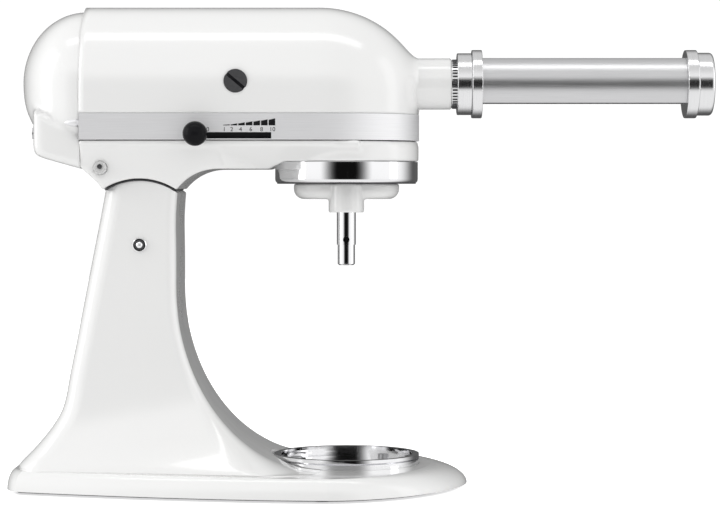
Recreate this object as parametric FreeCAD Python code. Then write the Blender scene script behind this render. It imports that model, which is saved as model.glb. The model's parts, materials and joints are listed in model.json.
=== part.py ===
"""Tilt-head stand mixer with a pasta cutter in its front power hub.

Millimetres.  +X points forward to the cutter, +Z up, Z = 0 is the worktop.
Everything is drawn with X = 0 on the planetary axis, and save() moves it so
that the origin lies under the middle of the bounding box.
"""
import FreeCAD, Part
import math
import os
from FreeCAD import Vector, Matrix

# ---------------------------------------------------------------- driving dimensions
FOOT_REAR = -247.2          # rear tip of the foot
FOOT_FRONT = 89.6           # front tip of the foot
FOOT_HALF_WIDTH = 110.5     # widest half-width of the foot, beside the bowl
FOOT_REAR_HALF = 57.0       # half-width of the squarish rear end
FOOT_CENTRE = -12.0         # where the foot is widest
FOOT_BOTTOM = 2.5           # casting underside above the worktop
DECK_Z = 17.0               # flat top of the foot
FOOT_WALL = 6.0
COLUMN_FRONT = -123.2       # upright front face of the column
COLUMN_REAR = -175.7        # rear face at the neck
COLUMN_HALF = 50.0          # half-width at the neck
COLUMN_WALL = 6.0
REAR_SLOPE = 0.197          # how far the rear face leans back per unit of height
FLARE_TOP = 148.0           # height where the front and side flares begin
FLARE_LENGTH = 105.0        # how far the front flare reaches forward
FLARE_HALF = 98.0           # half-width of the flare at the deck

HINGE_X = -149.5            # head tilt axis
HINGE_Z = 180.4
HINGE_PIN_R = 5.1
NECK_R = 46.3               # column top, an arc about the tilt axis
NECK_GAP = 1.7
TONGUE_HALF = 20.0          # half-thickness of the hinge tongue
RUNNING = 0.05              # radial clearance of running fits
CLEAR = 0.4                 # clearance between pieces that pass each other

HEAD_REAR = -192.0          # seam between the housings and the rear cover
HEAD_HALF = 60.0            # half-width of the head
HEAD_TOP = 355.0
NOSE_CENTRE = -20.0         # where the nose begins to curve
NOSE_LENGTH = 73.5          # from there to the front of the nose
CROWN_Z = 292.0             # below this height the sides are upright
BAND_BOTTOM = 256.3
BAND_TOP = 275.4
BAND_THICK = 1.2
SHELL = 3.5                 # housing wall
UNDERSIDE_Z = 235.3
GEARCASE_R = 53.5           # round front of the lower housing, about the planetary axis
GEARCASE_Z = 241.0
FLOOR = 5.0

HUB_Z = 298.5               # motor, power hub and cutter axis
HUB_R = 18.8
HUB_FRONT = 77.5
SHANK_R = 13.0              # cutter shank
SHANK_LENGTH = 30.0

RING_R = 53.0               # drip ring
RING_Z0 = 225.0
RING_Z1 = GEARCASE_Z - 0.1
RING_WALL = 2.0
BEATER_R = 7.0
BEATER_COLLAR_R = 13.0
BEATER_TIP_R = 6.35         # turned-down end that takes the beater
BEATER_TIP_TOP = 180.0
BEATER_TIP_Z = 165.0
BEATER_OFFSET = 22.0
CROSS_PIN_R = 2.4
CROSS_PIN_Z = 183.8
PLATE_R = 54.0              # bowl plate
PLATE_Z = 24.2
BOWL_SEAT_R = 49.5          # rim that centres the bowl's foot, above the lugs
LUG_TOP = 21.2
LUG_THICK = 1.3

RAMP = 0.8                  # tooth addendum in modules
CUT_R = 8.6                 # cutter discs
CUT_CORE_R = 6.6
CUT_AXIS_Y = 8.0
CUT_SHAFT_R = 2.4
CUT_PITCH = 6.6             # width of one strip pair
SHROUD_R = 20.2
SHROUD_WALL = 1.2
CASE_X0 = 81.8              # cutter gear case
CASE_X1 = 92.7
INNER_PLATE_X1 = 100.3
OUTER_PLATE_X0 = 250.8
OUTER_PLATE_X1 = 259.2
CAP_FRONT = 271.0

SPEED_X0 = -107.7           # ball knob at "off"
SPEED_TRAVEL = 50.0
SPEED_Z = 259.4
COVER_DEPTH = 47.8          # rear cover, from the seam to the back of its dome
COVER_BOX = 38.5            # and to the back of its lower box
KNOB_R = 8.9
BRUSH_X = -79.4
BRUSH_CAP_R = 8.5

# heights of the column loft's sections
COLUMN_LEVELS = (12.0, 17.0, 18.0, 20.0, 23.0, 28.0, 35.0, 45.0, 60.0, 80.0, 105.0, 130.0, 148.0, 175.0, 205.0, 234.0)
FEET = [(FOOT_FRONT - 38, 0), (FOOT_CENTRE - 5, -88), (FOOT_CENTRE - 5, 88),
        (FOOT_REAR + 26, -38), (FOOT_REAR + 26, 38)]
# inside the head: hub bore, bearing web and hub clamp
HUB_INNER = 24.0
WEB_X0 = -58.0
WEB_X1 = -52.0
BEARING_R = 11.0
CLAMP_X = 66.0
CLAMP_R = 3.05
# lower housing bores, head lock and housing screws
BUSH_R = 10.0
LOCK_Y = 61.4
LOCK_Z = 244.0
LAY_R = 5.0
SCREW_X = -177.0
SCREW_Z = 236.0
# gear train: (teeth, pitch radius) of each gear, worm and bevels
RING_TEETH = (39, 33.0)
PINION_TEETH = (13, 11.0)
WHEEL_TEETH = (20, 20.0)
WORM_R = 7.0
WORM_LEAD = 4 * 2 * math.pi * WHEEL_TEETH[1] / WHEEL_TEETH[0]
GEAR_MODULE = 2 * WHEEL_TEETH[1] / WHEEL_TEETH[0]
WORM_X0 = -38.0
WORM_X1 = -22.0
WORM_PHASE = 0.0
LAY_TEETH = (14, 13.333)
CENTRE_TEETH = (28, 26.667)
LAY_Y = WORM_R + WHEEL_TEETH[1]
BEVEL_BIG = (24, 24.0)
BEVEL_SMALL = (12, 12.0)
SHAFT_R = 6.0
WHEEL_PHASE = math.pi / WHEEL_TEETH[0]
SQUARE = 9.5
HUB_SOCKET = 45.0
# cutter: gears that keep the two rollers in step, bushes and feed slot
SYNC_TEETH = 18
CUT_BUSH_R = 4.0
FEED_HALF = 6.5

SHIFT = -(FOOT_REAR + CAP_FRONT) / 2.0
X, Y, Z = Vector(1, 0, 0), Vector(0, 1, 0), Vector(0, 0, 1)
COUNT = [0]


# ---------------------------------------------------------------- helpers
def save(name, shape):
    """Move a piece to the final origin and write its STEP file."""
    os.makedirs("parts", exist_ok=True)
    piece = shape.copy()
    piece.translate(Vector(SHIFT, 0, 0))
    solids = piece.Solids
    good = all(s.isValid() for s in solids) and piece.Volume > 0
    COUNT[0] += 1
    print("%-26s solids %2d volume %9.0f mm3 %s" % (name, len(solids), piece.Volume, "ok" if good else "BAD"))
    piece.exportStep("parts/%s.step" % name)


def rod(radius, start, end, across, axis="x"):
    """Cylinder from start to end along an axis, at the two other coordinates."""
    a, b = across
    base = {"x": Vector(start, a, b), "y": Vector(a, start, b), "z": Vector(a, b, start)}[axis]
    along = {"x": X, "y": Y, "z": Z}[axis]
    if end < start:
        along = along * -1
    return Part.makeCylinder(radius, abs(end - start), base, along)


def pipe(outer, inner, start, end, across, axis="x"):
    """Cylinder with a through hole."""
    return rod(outer, start, end, across, axis).cut(rod(inner, start - 1, end + 1, across, axis))


def block(x0, x1, y0, y1, z0, z1):
    return Part.makeBox(x1 - x0, y1 - y0, z1 - z0, Vector(x0, y0, z0))


def group(shapes):
    """Separate solids that share one node."""
    return Part.makeCompound(shapes)


def merged(first, others):
    """One solid from several overlapping ones."""
    return first.multiFuse(others).removeSplitter()


def path(points, place):
    """Closed wire.  A pair of points in the list is an arc through the first to the second."""
    edges = []
    here = place(*points[0])
    for item in points[1:] + [points[0]]:
        if isinstance(item[0], tuple):
            middle, end = place(*item[0]), place(*item[1])
            edges.append(Part.Arc(here, middle, end).toShape())
        else:
            end = place(*item)
            edges.append(Part.LineSegment(here, end).toShape())
        here = end
    return Part.Wire(edges)


def side_prism(points, half):
    """Side-view outline, extruded symmetrically across the machine."""
    wire = path(points, lambda x, z: Vector(x, -half, z))
    return Part.Face(wire).extrude(Vector(0, 2 * half, 0))


def rounded_polygon(corners, radii, z):
    """Closed wire in a level plane, with an arc of the given radius at each corner."""
    edges, starts, ends, middles = [], [], [], []
    n = len(corners)
    for i in range(n):
        p = Vector(corners[i][0], corners[i][1], z)
        to_last = (Vector(corners[i - 1][0], corners[i - 1][1], z) - p).normalize()
        after = corners[(i + 1) % n]
        to_next = (Vector(after[0], after[1], z) - p).normalize()
        half_angle = to_last.getAngle(to_next) / 2
        reach = radii[i] / math.tan(half_angle)
        bisector = (to_last + to_next).normalize()
        starts.append(p + to_last * reach)
        ends.append(p + to_next * reach)
        middles.append(p + bisector * (radii[i] / math.sin(half_angle) - radii[i]))
    for i in range(n):
        edges.append(Part.Arc(starts[i], middles[i], ends[i]).toShape())
        edges.append(Part.LineSegment(ends[i], starts[(i + 1) % n]).toShape())
    return Part.Wire(edges)


def half_ellipsoid(centre, semi):
    """Rear half of a solid ellipsoid: half a sphere stretched by the three semi-axes."""
    r = 60.0
    ball = Part.makeSphere(r, Vector(0, 0, 0), Z, -90, 90, 180)
    ball.rotate(Vector(0, 0, 0), Z, 90)
    stretch = Matrix()
    stretch.scale(semi[0] / r, semi[1] / r, semi[2] / r)
    ball = ball.transformGeometry(stretch)
    ball.translate(Vector(*centre))
    return ball


def tooth_angles(teeth, phase, fractions):
    """For each tooth, the angles of its two root and two tip corners."""
    pitch = 2 * math.pi / teeth
    root, tip = fractions
    for k in range(teeth):
        mid = phase + k * pitch
        yield mid - root * pitch / 2, mid - tip * pitch / 2, mid + tip * pitch / 2, mid + root * pitch / 2


def gear_wire(teeth, pitch_r, phase, z=0.0, module=None, fractions=(0.52, 0.22)):
    """Closed outline of a spur gear; tooth heights are in modules."""
    module = module or 2 * pitch_r / teeth
    root_r = pitch_r - module
    tip_r = pitch_r + RAMP * module
    corners = []
    for a, b, c, d in tooth_angles(teeth, phase, fractions):
        for radius, angle in ((root_r, a), (tip_r, b), (tip_r, c), (root_r, d)):
            corners.append(Vector(radius * math.cos(angle), radius * math.sin(angle), z))
    return Part.makePolygon(corners + corners[:1])


def spur_gear(teeth, pitch_r, z0, z1, phase, bore):
    """Spur gear about Z."""
    body = Part.Face(gear_wire(teeth, pitch_r, phase, z0)).extrude(Vector(0, 0, z1 - z0))
    return body.cut(rod(bore, z0 - 1, z1 + 1, (0, 0), "z"))


def helical(teeth, pitch_r, z0, z1, phase, twist_per_mm, steps, module, fractions=(0.52, 0.22)):
    """Twisted gear about Z, lofted through turned outlines."""
    wires = []
    middle = (z0 + z1) / 2
    for i in range(steps + 1):
        z = z0 + (z1 - z0) * i / steps
        wires.append(gear_wire(teeth, pitch_r, phase + twist_per_mm * (z - middle), z, module, fractions))
    return Part.makeLoft(wires, True, True)


def along_x(shape, x, y, z):
    """Turn a piece made about Z so that it lies along +X, with its own X pointing down, then place it."""
    turned = shape.copy()
    turned.rotate(Vector(0, 0, 0), Y, 90)
    turned.translate(Vector(x, y, z))
    return turned


# ---------------------------------------------------------------- pedestal
def column_front(z):
    """Front face: upright, then a quarter ellipse that runs out onto the deck."""
    drop = min(1.0, max(0.0, (FLARE_TOP - z) / (FLARE_TOP - DECK_Z)))
    return COLUMN_FRONT + FLARE_LENGTH * (1 - math.sqrt(1 - drop ** 2))


def column_rear(z):
    """Rear face: leans back with height, with a flare near the foot."""
    flare = 24.0 * (max(0.0, 65.0 - max(z, DECK_Z + 4)) / 44.0) ** 1.6
    return COLUMN_REAR - REAR_SLOPE * (HINGE_Z + 36.6 - max(z, DECK_Z + 4)) - flare


def column_half(z, top, foot):
    """Half-width: even at the top, flaring strongly near the deck."""
    t = min(1.0, max(0.0, (FLARE_TOP - z) / (FLARE_TOP - DECK_Z)))
    return top + (foot - top) * t ** 5


def column_loft(inset, lift, levels):
    """Loft through rounded trapezoids; inset and lift make the inside of the wall."""
    wires = []
    for z in levels:
        zz = z + lift
        front, rear = column_front(zz) - inset, column_rear(zz) + inset
        wf = column_half(zz, COLUMN_HALF, FLARE_HALF) - inset
        wr = column_half(zz, COLUMN_HALF - 3, FOOT_REAR_HALF) - inset
        low = column_half(zz, 0, 1)
        rf, rr = 6 + 26 * low, 14 + 8 * low
        corners = [(rear, -wr), (front, -wf), (front, wf), (rear, wr)]
        wires.append(rounded_polygon(corners, [rr, rf, rf, rr], z))
    return Part.makeLoft(wires, True, False)


def foot_wire(z, nose_in, side_in, rear_in):
    """Plan outline of the foot: squarish rear end, gently widening sides, round nose."""
    front = FOOT_FRONT - nose_in
    rear = FOOT_REAR + rear_in
    reach = front - FOOT_CENTRE
    wide = FOOT_HALF_WIDTH - side_in
    half = FOOT_REAR_HALF - side_in
    run = FOOT_CENTRE - rear
    side, nose = [], []
    for k in range(7):
        t = 0.035 + 0.965 * k / 6
        side.append((rear + t * run, half + (wide - half) * (1 - (1 - t) ** 1.6)))
        u = math.sin(math.pi / 2 * k / 6)
        nose.append((FOOT_CENTRE + reach * u, wide * (1 - u ** 1.75) ** (1 / 1.75)))
    curves = []
    for points, sign in ((side, -1), (nose, -1), (nose[::-1], 1), (side[::-1], 1)):
        curve = Part.BSplineCurve()
        curve.interpolate([Vector(x, sign * y, z) for x, y in points])
        curves.append(curve.toShape())
    first = Vector(side[0][0], -side[0][1], z)
    corner_y = half - 20.0
    bulge = Vector(rear + 0.0075 * run, half - 8.5, z)
    arc1 = Part.Arc(Vector(rear, -corner_y, z), Vector(bulge.x, -bulge.y, z), first)
    arc2 = Part.Arc(Vector(first.x, -first.y, z), bulge, Vector(rear, corner_y, z))
    line = Part.LineSegment(Vector(rear, corner_y, z), Vector(rear, -corner_y, z))
    return Part.Wire([arc1.toShape()] + curves + [arc2.toShape(), line.toShape()])


def foot_loft(inset, z0, z1, nose_round, side_round):
    """Foot with a rounded top edge, softest at the nose."""
    wires = []
    for degrees in (0, 18, 36, 54, 70, 84):
        t = math.radians(degrees)
        z = z0 + (z1 - z0) * math.sin(t) / math.sin(math.radians(84))
        shrink = 1 - math.cos(t)
        wires.append(foot_wire(z, inset + nose_round * shrink, inset + side_round * shrink, inset + 6 * shrink))
    return Part.makeLoft(wires, True, False)


def make_pedestal():
    foot = foot_loft(0, FOOT_BOTTOM, DECK_Z, 30, 7)
    column = column_loft(0, 0, COLUMN_LEVELS)
    top = rod(NECK_R, -200, 200, (HINGE_X, HINGE_Z), "y").fuse(block(-400, 200, -200, 200, -10, HINGE_Z + 15))
    column = column.common(top)
    casting = foot.fuse(column)
    hollow = column_loft(COLUMN_WALL, COLUMN_WALL, COLUMN_LEVELS)
    under = foot_loft(FOOT_WALL, FOOT_BOTTOM - 1, DECK_Z - FOOT_WALL, 26, 6)
    casting = casting.cut(hollow).cut(under)
    # relief in the rear wall for the hinge tongue when the head is up
    slot = block(COLUMN_REAR - 20, HINGE_X - 8, -TONGUE_HALF - 1.5, TONGUE_HALF + 1.5, HINGE_Z + 17, HINGE_Z + 80)
    casting = casting.cut(slot)
    # hinge bosses inside the cheeks, bored for the pin
    y_in = TONGUE_HALF + CLEAR
    for s in (-1, 1):
        boss = rod(11, s * y_in, s * (COLUMN_HALF - 3), (HINGE_X, HINGE_Z), "y")
        casting = casting.fuse(boss)
    casting = casting.cut(rod(HINGE_PIN_R, -80, 80, (HINGE_X, HINGE_Z), "y"))
    # round seat for the bowl plate, with posts below for its screws
    casting = casting.fuse(rod(PLATE_R + 4, FOOT_BOTTOM + 3, DECK_Z, (0, 0), "z"))
    casting = casting.cut(rod(PLATE_R + 2.5, DECK_Z, DECK_Z + 40, (0, 0), "z"))
    casting = casting.cut(rod(PLATE_R + CLEAR, DECK_Z - 1, DECK_Z + 40, (0, 0), "z"))
    casting = casting.cut(rod(PLATE_R - 12, FOOT_BOTTOM, DECK_Z - 6, (0, 0), "z"))
    for x, y in plate_screw_places():
        casting = casting.cut(rod(2.0, DECK_Z - 6.5, DECK_Z, (x, y), "z"))
    # pads that the rubber feet press into
    for x, y in FEET:
        casting = casting.fuse(rod(11, FOOT_BOTTOM, DECK_Z - 4, (x, y), "z"))
        casting = casting.cut(rod(4, FOOT_BOTTOM - 1, FOOT_BOTTOM + 5, (x, y), "z"))
    save("pedestal_casting", casting.removeSplitter())
    feet = [rod(9, 0, FOOT_BOTTOM, p, "z").fuse(rod(4, FOOT_BOTTOM, FOOT_BOTTOM + 5, p, "z")) for p in FEET]
    save("rubber_feet", group(feet))
    pin = rod(HINGE_PIN_R, -COLUMN_HALF - 0.6, COLUMN_HALF + 0.6, (HINGE_X, HINGE_Z), "y")
    ends = [e for e in pin.Edges if abs(abs(e.BoundBox.Center.y) - COLUMN_HALF - 0.6) < 0.1]
    save("hinge_pin", pin.makeChamfer(0.6, ends))


def plate_screw_places():
    return [(PLATE_R * 0.72 * math.cos(a), PLATE_R * 0.72 * math.sin(a))
            for a in (math.radians(45), math.radians(165), math.radians(285))]


def make_bowl_plate():
    seat = DECK_Z - 1
    plate = rod(PLATE_R, seat, PLATE_Z - 3.6, (0, 0), "z")
    lip = Part.makeCone(PLATE_R - 1.5, PLATE_R, 1.2, Vector(0, 0, PLATE_Z - 3.6))
    upper = rod(PLATE_R, PLATE_Z - 2.4, PLATE_Z, (0, 0), "z")
    plate = merged(plate, [lip, upper])
    plate = plate.cut(rod(PLATE_R - 5, seat + 2.5, PLATE_Z + 1, (0, 0), "z"))
    plate = plate.cut(rod(BOWL_SEAT_R, LUG_TOP, PLATE_Z + 1, (0, 0), "z"))
    lugs = []
    for k in range(3):
        wedge = Part.makeCylinder(PLATE_R - 3, LUG_THICK, Vector(0, 0, LUG_TOP - LUG_THICK), Z, 40)
        wedge.rotate(Vector(0, 0, 0), Z, 120 * k + 95)
        lugs.append(wedge.cut(rod(PLATE_R - 10, 0, 60, (0, 0), "z")))
    plate = merged(plate, lugs)
    screws = []
    for x, y in plate_screw_places():
        plate = plate.cut(rod(2.2, seat - 1, PLATE_Z, (x, y), "z"))
        screw = rod(4, seat + 2.5, seat + 4.5, (x, y), "z").fuse(rod(1.95, DECK_Z - 6, seat + 2.5, (x, y), "z"))
        screws.append(screw.cut(block(x - 3, x + 3, y - 0.5, y + 0.5, seat + 3.7, seat + 5)))
    save("bowl_plate", plate)
    save("bowl_plate_screws", group(screws))


# ---------------------------------------------------------------- head castings
def head_form(inset, rear, z0):
    """Rounded head: straight body, elliptical nose, domed crown; inset makes the inner surface.

    It is built on round primitives of one radius and then stretched to the three semi-axes at once.
    """
    half, a, crown = HEAD_HALF - inset, NOSE_LENGTH - inset, HEAD_TOP - CROWN_Z - inset
    r = 60.0
    back, low = (rear - NOSE_CENTRE) * r / a, (z0 - CROWN_Z) * r / crown
    plan = Part.Wire([Part.makeLine(Vector(back, r, low), Vector(back, -r, low)),
                      Part.makeLine(Vector(back, -r, low), Vector(0, -r, low)),
                      Part.Arc(Vector(0, -r, low), Vector(r, 0, low), Vector(0, r, low)).toShape(),
                      Part.makeLine(Vector(0, r, low), Vector(back, r, low))])
    walls = Part.Face(plan).extrude(Vector(0, 0, -low))
    arch = Part.Wire([Part.makeLine(Vector(back, -r, 0), Vector(back, r, 0)),
                      Part.Arc(Vector(back, r, 0), Vector(back, 0, r), Vector(back, -r, 0)).toShape()])
    barrel = Part.Face(arch).extrude(Vector(-back, 0, 0))
    dome = Part.makeSphere(r, Vector(0, 0, 0), Z, 0, 90, 180)
    dome.rotate(Vector(0, 0, 0), Z, -90)
    form = merged(walls, [barrel, dome])
    stretch = Matrix()
    stretch.scale(a / r, half / r, crown / r)
    form = form.transformGeometry(stretch)
    form.translate(Vector(NOSE_CENTRE, 0, CROWN_Z))
    return form


def make_upper_housing():
    outer = head_form(0, HEAD_REAR, BAND_TOP + 0.2)
    skirt = head_form(BAND_THICK + 0.1, HEAD_REAR, BAND_BOTTOM).common(
        block(HEAD_REAR, 200, -200, 200, BAND_BOTTOM, BAND_TOP + 1))
    boss = rod(HUB_R, 0, HUB_FRONT, (0, HUB_Z))
    shell = merged(outer, [skirt, boss])
    inner = head_form(SHELL + BAND_THICK, HEAD_REAR - 1, BAND_BOTTOM - 1)
    shell = shell.cut(inner)
    # power hub barrel reaching back to the bevel gear
    barrel = pipe(HUB_R, SHANK_R + 0.1, HUB_INNER, HUB_FRONT, (0, HUB_Z))
    shell = shell.cut(rod(SHANK_R + 0.1, HUB_INNER - 30, HUB_FRONT + 1, (0, HUB_Z)))
    shell = merged(shell, [barrel])
    for s in (-1, 1):
        shell = shell.cut(rod(BRUSH_CAP_R + 0.1, s * 40, s * 90, (BRUSH_X, HUB_Z), "y"))
    # bridge that carries the front motor bearing
    web = block(WEB_X0, WEB_X1, -HEAD_HALF + 4.2, HEAD_HALF - 4.2, HUB_Z - 18, HUB_Z + 18)
    web = web.cut(rod(BEARING_R, -70, -40, (0, HUB_Z)))
    shell = merged(shell, [web])
    # slot for the speed lever and the clamp screw thread
    shell = shell.cut(block(SPEED_X0 - 5, SPEED_X0 + SPEED_TRAVEL + 5, -80, -40, SPEED_Z - 2.6, SPEED_Z + 2.6))
    shell = shell.cut(rod(CLAMP_R, 8, 60, (CLAMP_X, HUB_Z), "y"))
    save("upper_housing", shell)


def neck_corner(x):
    """Height on the neck arc, outside the gap, at a given X."""
    return HINGE_Z + math.sqrt((NECK_R + NECK_GAP) ** 2 - (x - HINGE_X) ** 2)


def neck_prism():
    """Neck of the lower housing: side outline with the neck arc, the arch and sloping sides."""
    arch_r = 36.8
    front = COLUMN_FRONT + 0.6
    top = HINGE_Z + NECK_R + NECK_GAP
    start = neck_corner(front)
    arch_x = front + math.sqrt(arch_r ** 2 - (arch_r - UNDERSIDE_Z + start) ** 2)
    mid = math.radians(118)
    arch_mid = (arch_x + arch_r * math.cos(mid), UNDERSIDE_Z - arch_r + arch_r * math.sin(mid))
    rear = COLUMN_REAR - 0.5
    outline = [(HEAD_REAR, BAND_BOTTOM), (HEAD_REAR, 236.8), (-185.0, 230.6), (-179.2, 225.2),
               (rear, neck_corner(rear)), ((HINGE_X, top), (front, start)),
               (arch_mid, (arch_x, UNDERSIDE_Z)), (-60.0, UNDERSIDE_Z), (-60.0, BAND_BOTTOM)]
    prism = side_prism(outline, 90)
    section = [(-HEAD_HALF + 2, BAND_BOTTOM), (-COLUMN_HALF, 217.0), (-COLUMN_HALF, 190.0),
               (COLUMN_HALF, 190.0), (COLUMN_HALF, 217.0), (HEAD_HALF - 2, BAND_BOTTOM)]
    wire = path(section, lambda y, z: Vector(-300, y, z))
    prism = prism.common(Part.Face(wire).extrude(Vector(400, 0, 0)))
    plan = [(HEAD_REAR, -80), (-128, -80), (-60, -36), (-60, 36), (-128, 80), (HEAD_REAR, 80)]
    wire = path(plan, lambda x, y: Vector(x, y, 200))
    return prism.common(Part.Face(wire).extrude(Vector(0, 0, 80)))


def lower_body():
    """Bottom of the head: a shallow trough whose sides slope in to the underside."""
    half = HEAD_HALF - 2
    section = [(-half, BAND_BOTTOM), (-half, BAND_BOTTOM - 5), (-44.0, UNDERSIDE_Z + 4.5),
               (-38.0, UNDERSIDE_Z), (38.0, UNDERSIDE_Z), (44.0, UNDERSIDE_Z + 4.5),
               (half, BAND_BOTTOM - 5), (half, BAND_BOTTOM)]
    wire = path(section, lambda y, z: Vector(HEAD_REAR + 30, y, z))
    trough = Part.Face(wire).extrude(Vector(NOSE_CENTRE + 30 - HEAD_REAR - 30, 0, 0))
    # the trough stops short of the drip ring, with a slope up to the round gearcase
    keep = [(HEAD_REAR, BAND_BOTTOM), (HEAD_REAR, UNDERSIDE_Z - 1), (-56.0, UNDERSIDE_Z - 1), (-56.0, UNDERSIDE_Z),
            (-45.0, GEARCASE_Z), (60.0, GEARCASE_Z), (60.0, BAND_BOTTOM)]
    return trough.common(side_prism(keep, 90))


def make_lower_housing():
    rim = head_form(0.6, HEAD_REAR, BAND_BOTTOM - 3.8).common(
        block(HEAD_REAR, 200, -200, 200, BAND_BOTTOM - 3.8, BAND_BOTTOM - 0.3))
    gearcase = rod(GEARCASE_R, GEARCASE_Z, BAND_BOTTOM - 3.8, (0, 0), "z")
    case = merged(lower_body(), [neck_prism(), gearcase])
    case = case.common(block(-400, 200, -200, 200, 100, BAND_BOTTOM - 0.3))
    case = merged(case, [rim])
    # inside pocket, open at the top
    floor = GEARCASE_Z + FLOOR
    pocket = block(HEAD_REAR + 8, -24, -38, 38, floor, BAND_BOTTOM + 5)
    well = rod(GEARCASE_R - 5, floor, BAND_BOTTOM + 5, (0, 0), "z")
    case = case.cut(pocket.fuse(well))
    # hinge tongue: a web that leans forward from the pivot up to the neck
    lean = [(-5, NECK_R + 6), (18, NECK_R + 6)]
    web = []
    for degrees, radius in lean:
        a = math.radians(degrees)
        web.append((HINGE_X + radius * math.sin(a), HINGE_Z + radius * math.cos(a)))
    outline = [(HINGE_X - 6, HINGE_Z + 4), web[0], web[1], (HINGE_X + 11, HINGE_Z + 2)]
    tongue = side_prism(outline, TONGUE_HALF)
    eye = rod(13, -TONGUE_HALF, TONGUE_HALF, (HINGE_X, HINGE_Z), "y")
    case = merged(case, [tongue, eye])
    case = case.cut(rod(HINGE_PIN_R + RUNNING, -90, 90, (HINGE_X, HINGE_Z), "y"))
    case = case.cut(rod(4 + RUNNING, 30, 90, (HINGE_X - 6, LOCK_Z), "y"))
    # bores for the centre bushing and the lay shaft
    case = case.cut(rod(BUSH_R, GEARCASE_Z - 2, floor + 2, (0, 0), "z"))
    lay = lay_place()
    case = case.cut(rod(LAY_R + RUNNING, floor - 3, floor + 1, lay, "z"))
    # scooped recesses with the housing screws
    for s in (-1, 1):
        case = case.cut(rod(4.6, s * 46, s * 80, (SCREW_X, SCREW_Z), "y"))
    save("lower_housing", case)
    screws = []
    for s in (-1, 1):
        head = rod(3.4, s * 46, s * 49.5, (SCREW_X, SCREW_Z), "y")
        screws.append(head.cut(block(SCREW_X - 4, SCREW_X + 4, min(s * 48.6, s * 51), max(s * 48.6, s * 51),
                                     SCREW_Z - 0.5, SCREW_Z + 0.5)))
    save("housing_screws", group(screws))


def make_rear_cover():
    """Domed motor cover with a lower box, hollow, set just inside the head's outline."""
    def form(inset):
        dome = half_ellipsoid((HEAD_REAR, 0, HUB_Z), (COVER_DEPTH - inset, HEAD_HALF - 3 - inset, 53.5 - inset))
        half, back = HEAD_HALF - 4.5 - inset, HEAD_REAR - COVER_BOX + inset
        corners = [(HEAD_REAR, -half), (HEAD_REAR, half), (back, half), (back, -half)]
        box = Part.Face(rounded_polygon(corners, [0.5, 0.5, 30, 30], 230.0)).extrude(Vector(0, 0, HUB_Z - 230))
        ramp = [(HEAD_REAR + 1, 236.5 + inset), (-240.0, 250.0 + inset), (-240.0, 330.0), (HEAD_REAR + 1, 330.0)]
        box = box.common(side_prism(ramp, 90))
        return dome.fuse(box)
    cover = form(0).cut(form(3.0))
    cover = cover.cut(rod(2.2, -300, HEAD_REAR - 30, (0, 262.0)))
    cover = cover.cut(rod(4.7, -300, HEAD_REAR - 37.5, (0, 262.0)))
    vents = []
    for k in range(-3, 4):
        vents.append(block(-228, -200, k * 7 - 1.5, k * 7 + 1.5, 230, 262))
    cover = cover.cut(group(vents))
    save("rear_cover", cover)
    post = rod(2.1, HEAD_REAR - 37, HEAD_REAR - 1, (0, 262.0))
    head = rod(4.2, HEAD_REAR - 41, HEAD_REAR - 37.6, (0, 262.0))
    screw = post.fuse(head).fuse(rod(2.1, HEAD_REAR - 38, HEAD_REAR - 36, (0, 262.0)))
    save("rear_cover_screw", screw.cut(block(HEAD_REAR - 42, HEAD_REAR - 40, -0.5, 0.5, 255, 270)))
    save("cord_gland", pipe(6.5, 3.6, HEAD_REAR - 44, HEAD_REAR - 34, (0, 249.0)).fuse(
        pipe(8.0, 3.6, HEAD_REAR - 43, HEAD_REAR - 38.6, (0, 249.0))).cut(form(0)))


def make_band():
    outer = head_form(-0.4, HEAD_REAR, BAND_BOTTOM).common(
        block(HEAD_REAR, 200, -200, 200, BAND_BOTTOM, BAND_TOP))
    inner = head_form(BAND_THICK + 0.1, HEAD_REAR - 10, BAND_BOTTOM - 5)
    band = outer.cut(inner)
    slot = block(SPEED_X0 + 4, SPEED_X0 + SPEED_TRAVEL + 4, -80, -40, SPEED_Z - 2.3, SPEED_Z + 2.3)
    slot = slot.fuse(block(SPEED_X0 - 4, SPEED_X0 + 8, -80, -40, SPEED_Z - 2.3, SPEED_Z + 2.3))
    save("trim_band", band.cut(slot))


def make_ring():
    ring = pipe(RING_R, RING_R - RING_WALL, RING_Z0, RING_Z1, (0, 0), "z")
    lip = pipe(RING_R - 1, RING_R - 8, RING_Z0, RING_Z0 + 1.5, (0, 0), "z")
    ring = merged(ring, [lip])
    low = [e for e in ring.Edges if abs(e.BoundBox.ZMax - RING_Z0) < 0.01 and e.BoundBox.XLength > 2 * RING_R - 1]
    ring = ring.makeFillet(1.4, low)
    trough = [(-80.0, UNDERSIDE_Z - 0.2), (-55.8, UNDERSIDE_Z - 0.2), (-44.6, GEARCASE_Z + 0.1), (-80.0, 260.0)]
    save("drip_ring", ring.cut(side_prism(trough, 90)))
    teeth, radius = RING_TEETH
    module = 2 * radius / teeth
    corners = []
    for a, b, c, d in tooth_angles(teeth, math.pi / 2, (0.50, 0.22)):
        for r, angle in ((radius + module, a), (radius - RAMP * module, b), (radius - RAMP * module, c),
                         (radius + module, d)):
            corners.append(Vector(r * math.cos(angle), r * math.sin(angle), RING_Z0 + 2.5))
    hole = Part.Face(Part.makePolygon(corners + corners[:1])).extrude(Vector(0, 0, 12))
    body = rod(radius + 6.5, RING_Z0 + 2.6, RING_Z0 + 10, (0, 0), "z")
    flange = pipe(RING_R - RING_WALL - 4.5, radius + 5, RING_Z0 + 7, RING_Z0 + 10, (0, 0), "z")
    save("internal_ring_gear", merged(body, [flange]).cut(hole))


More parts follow.
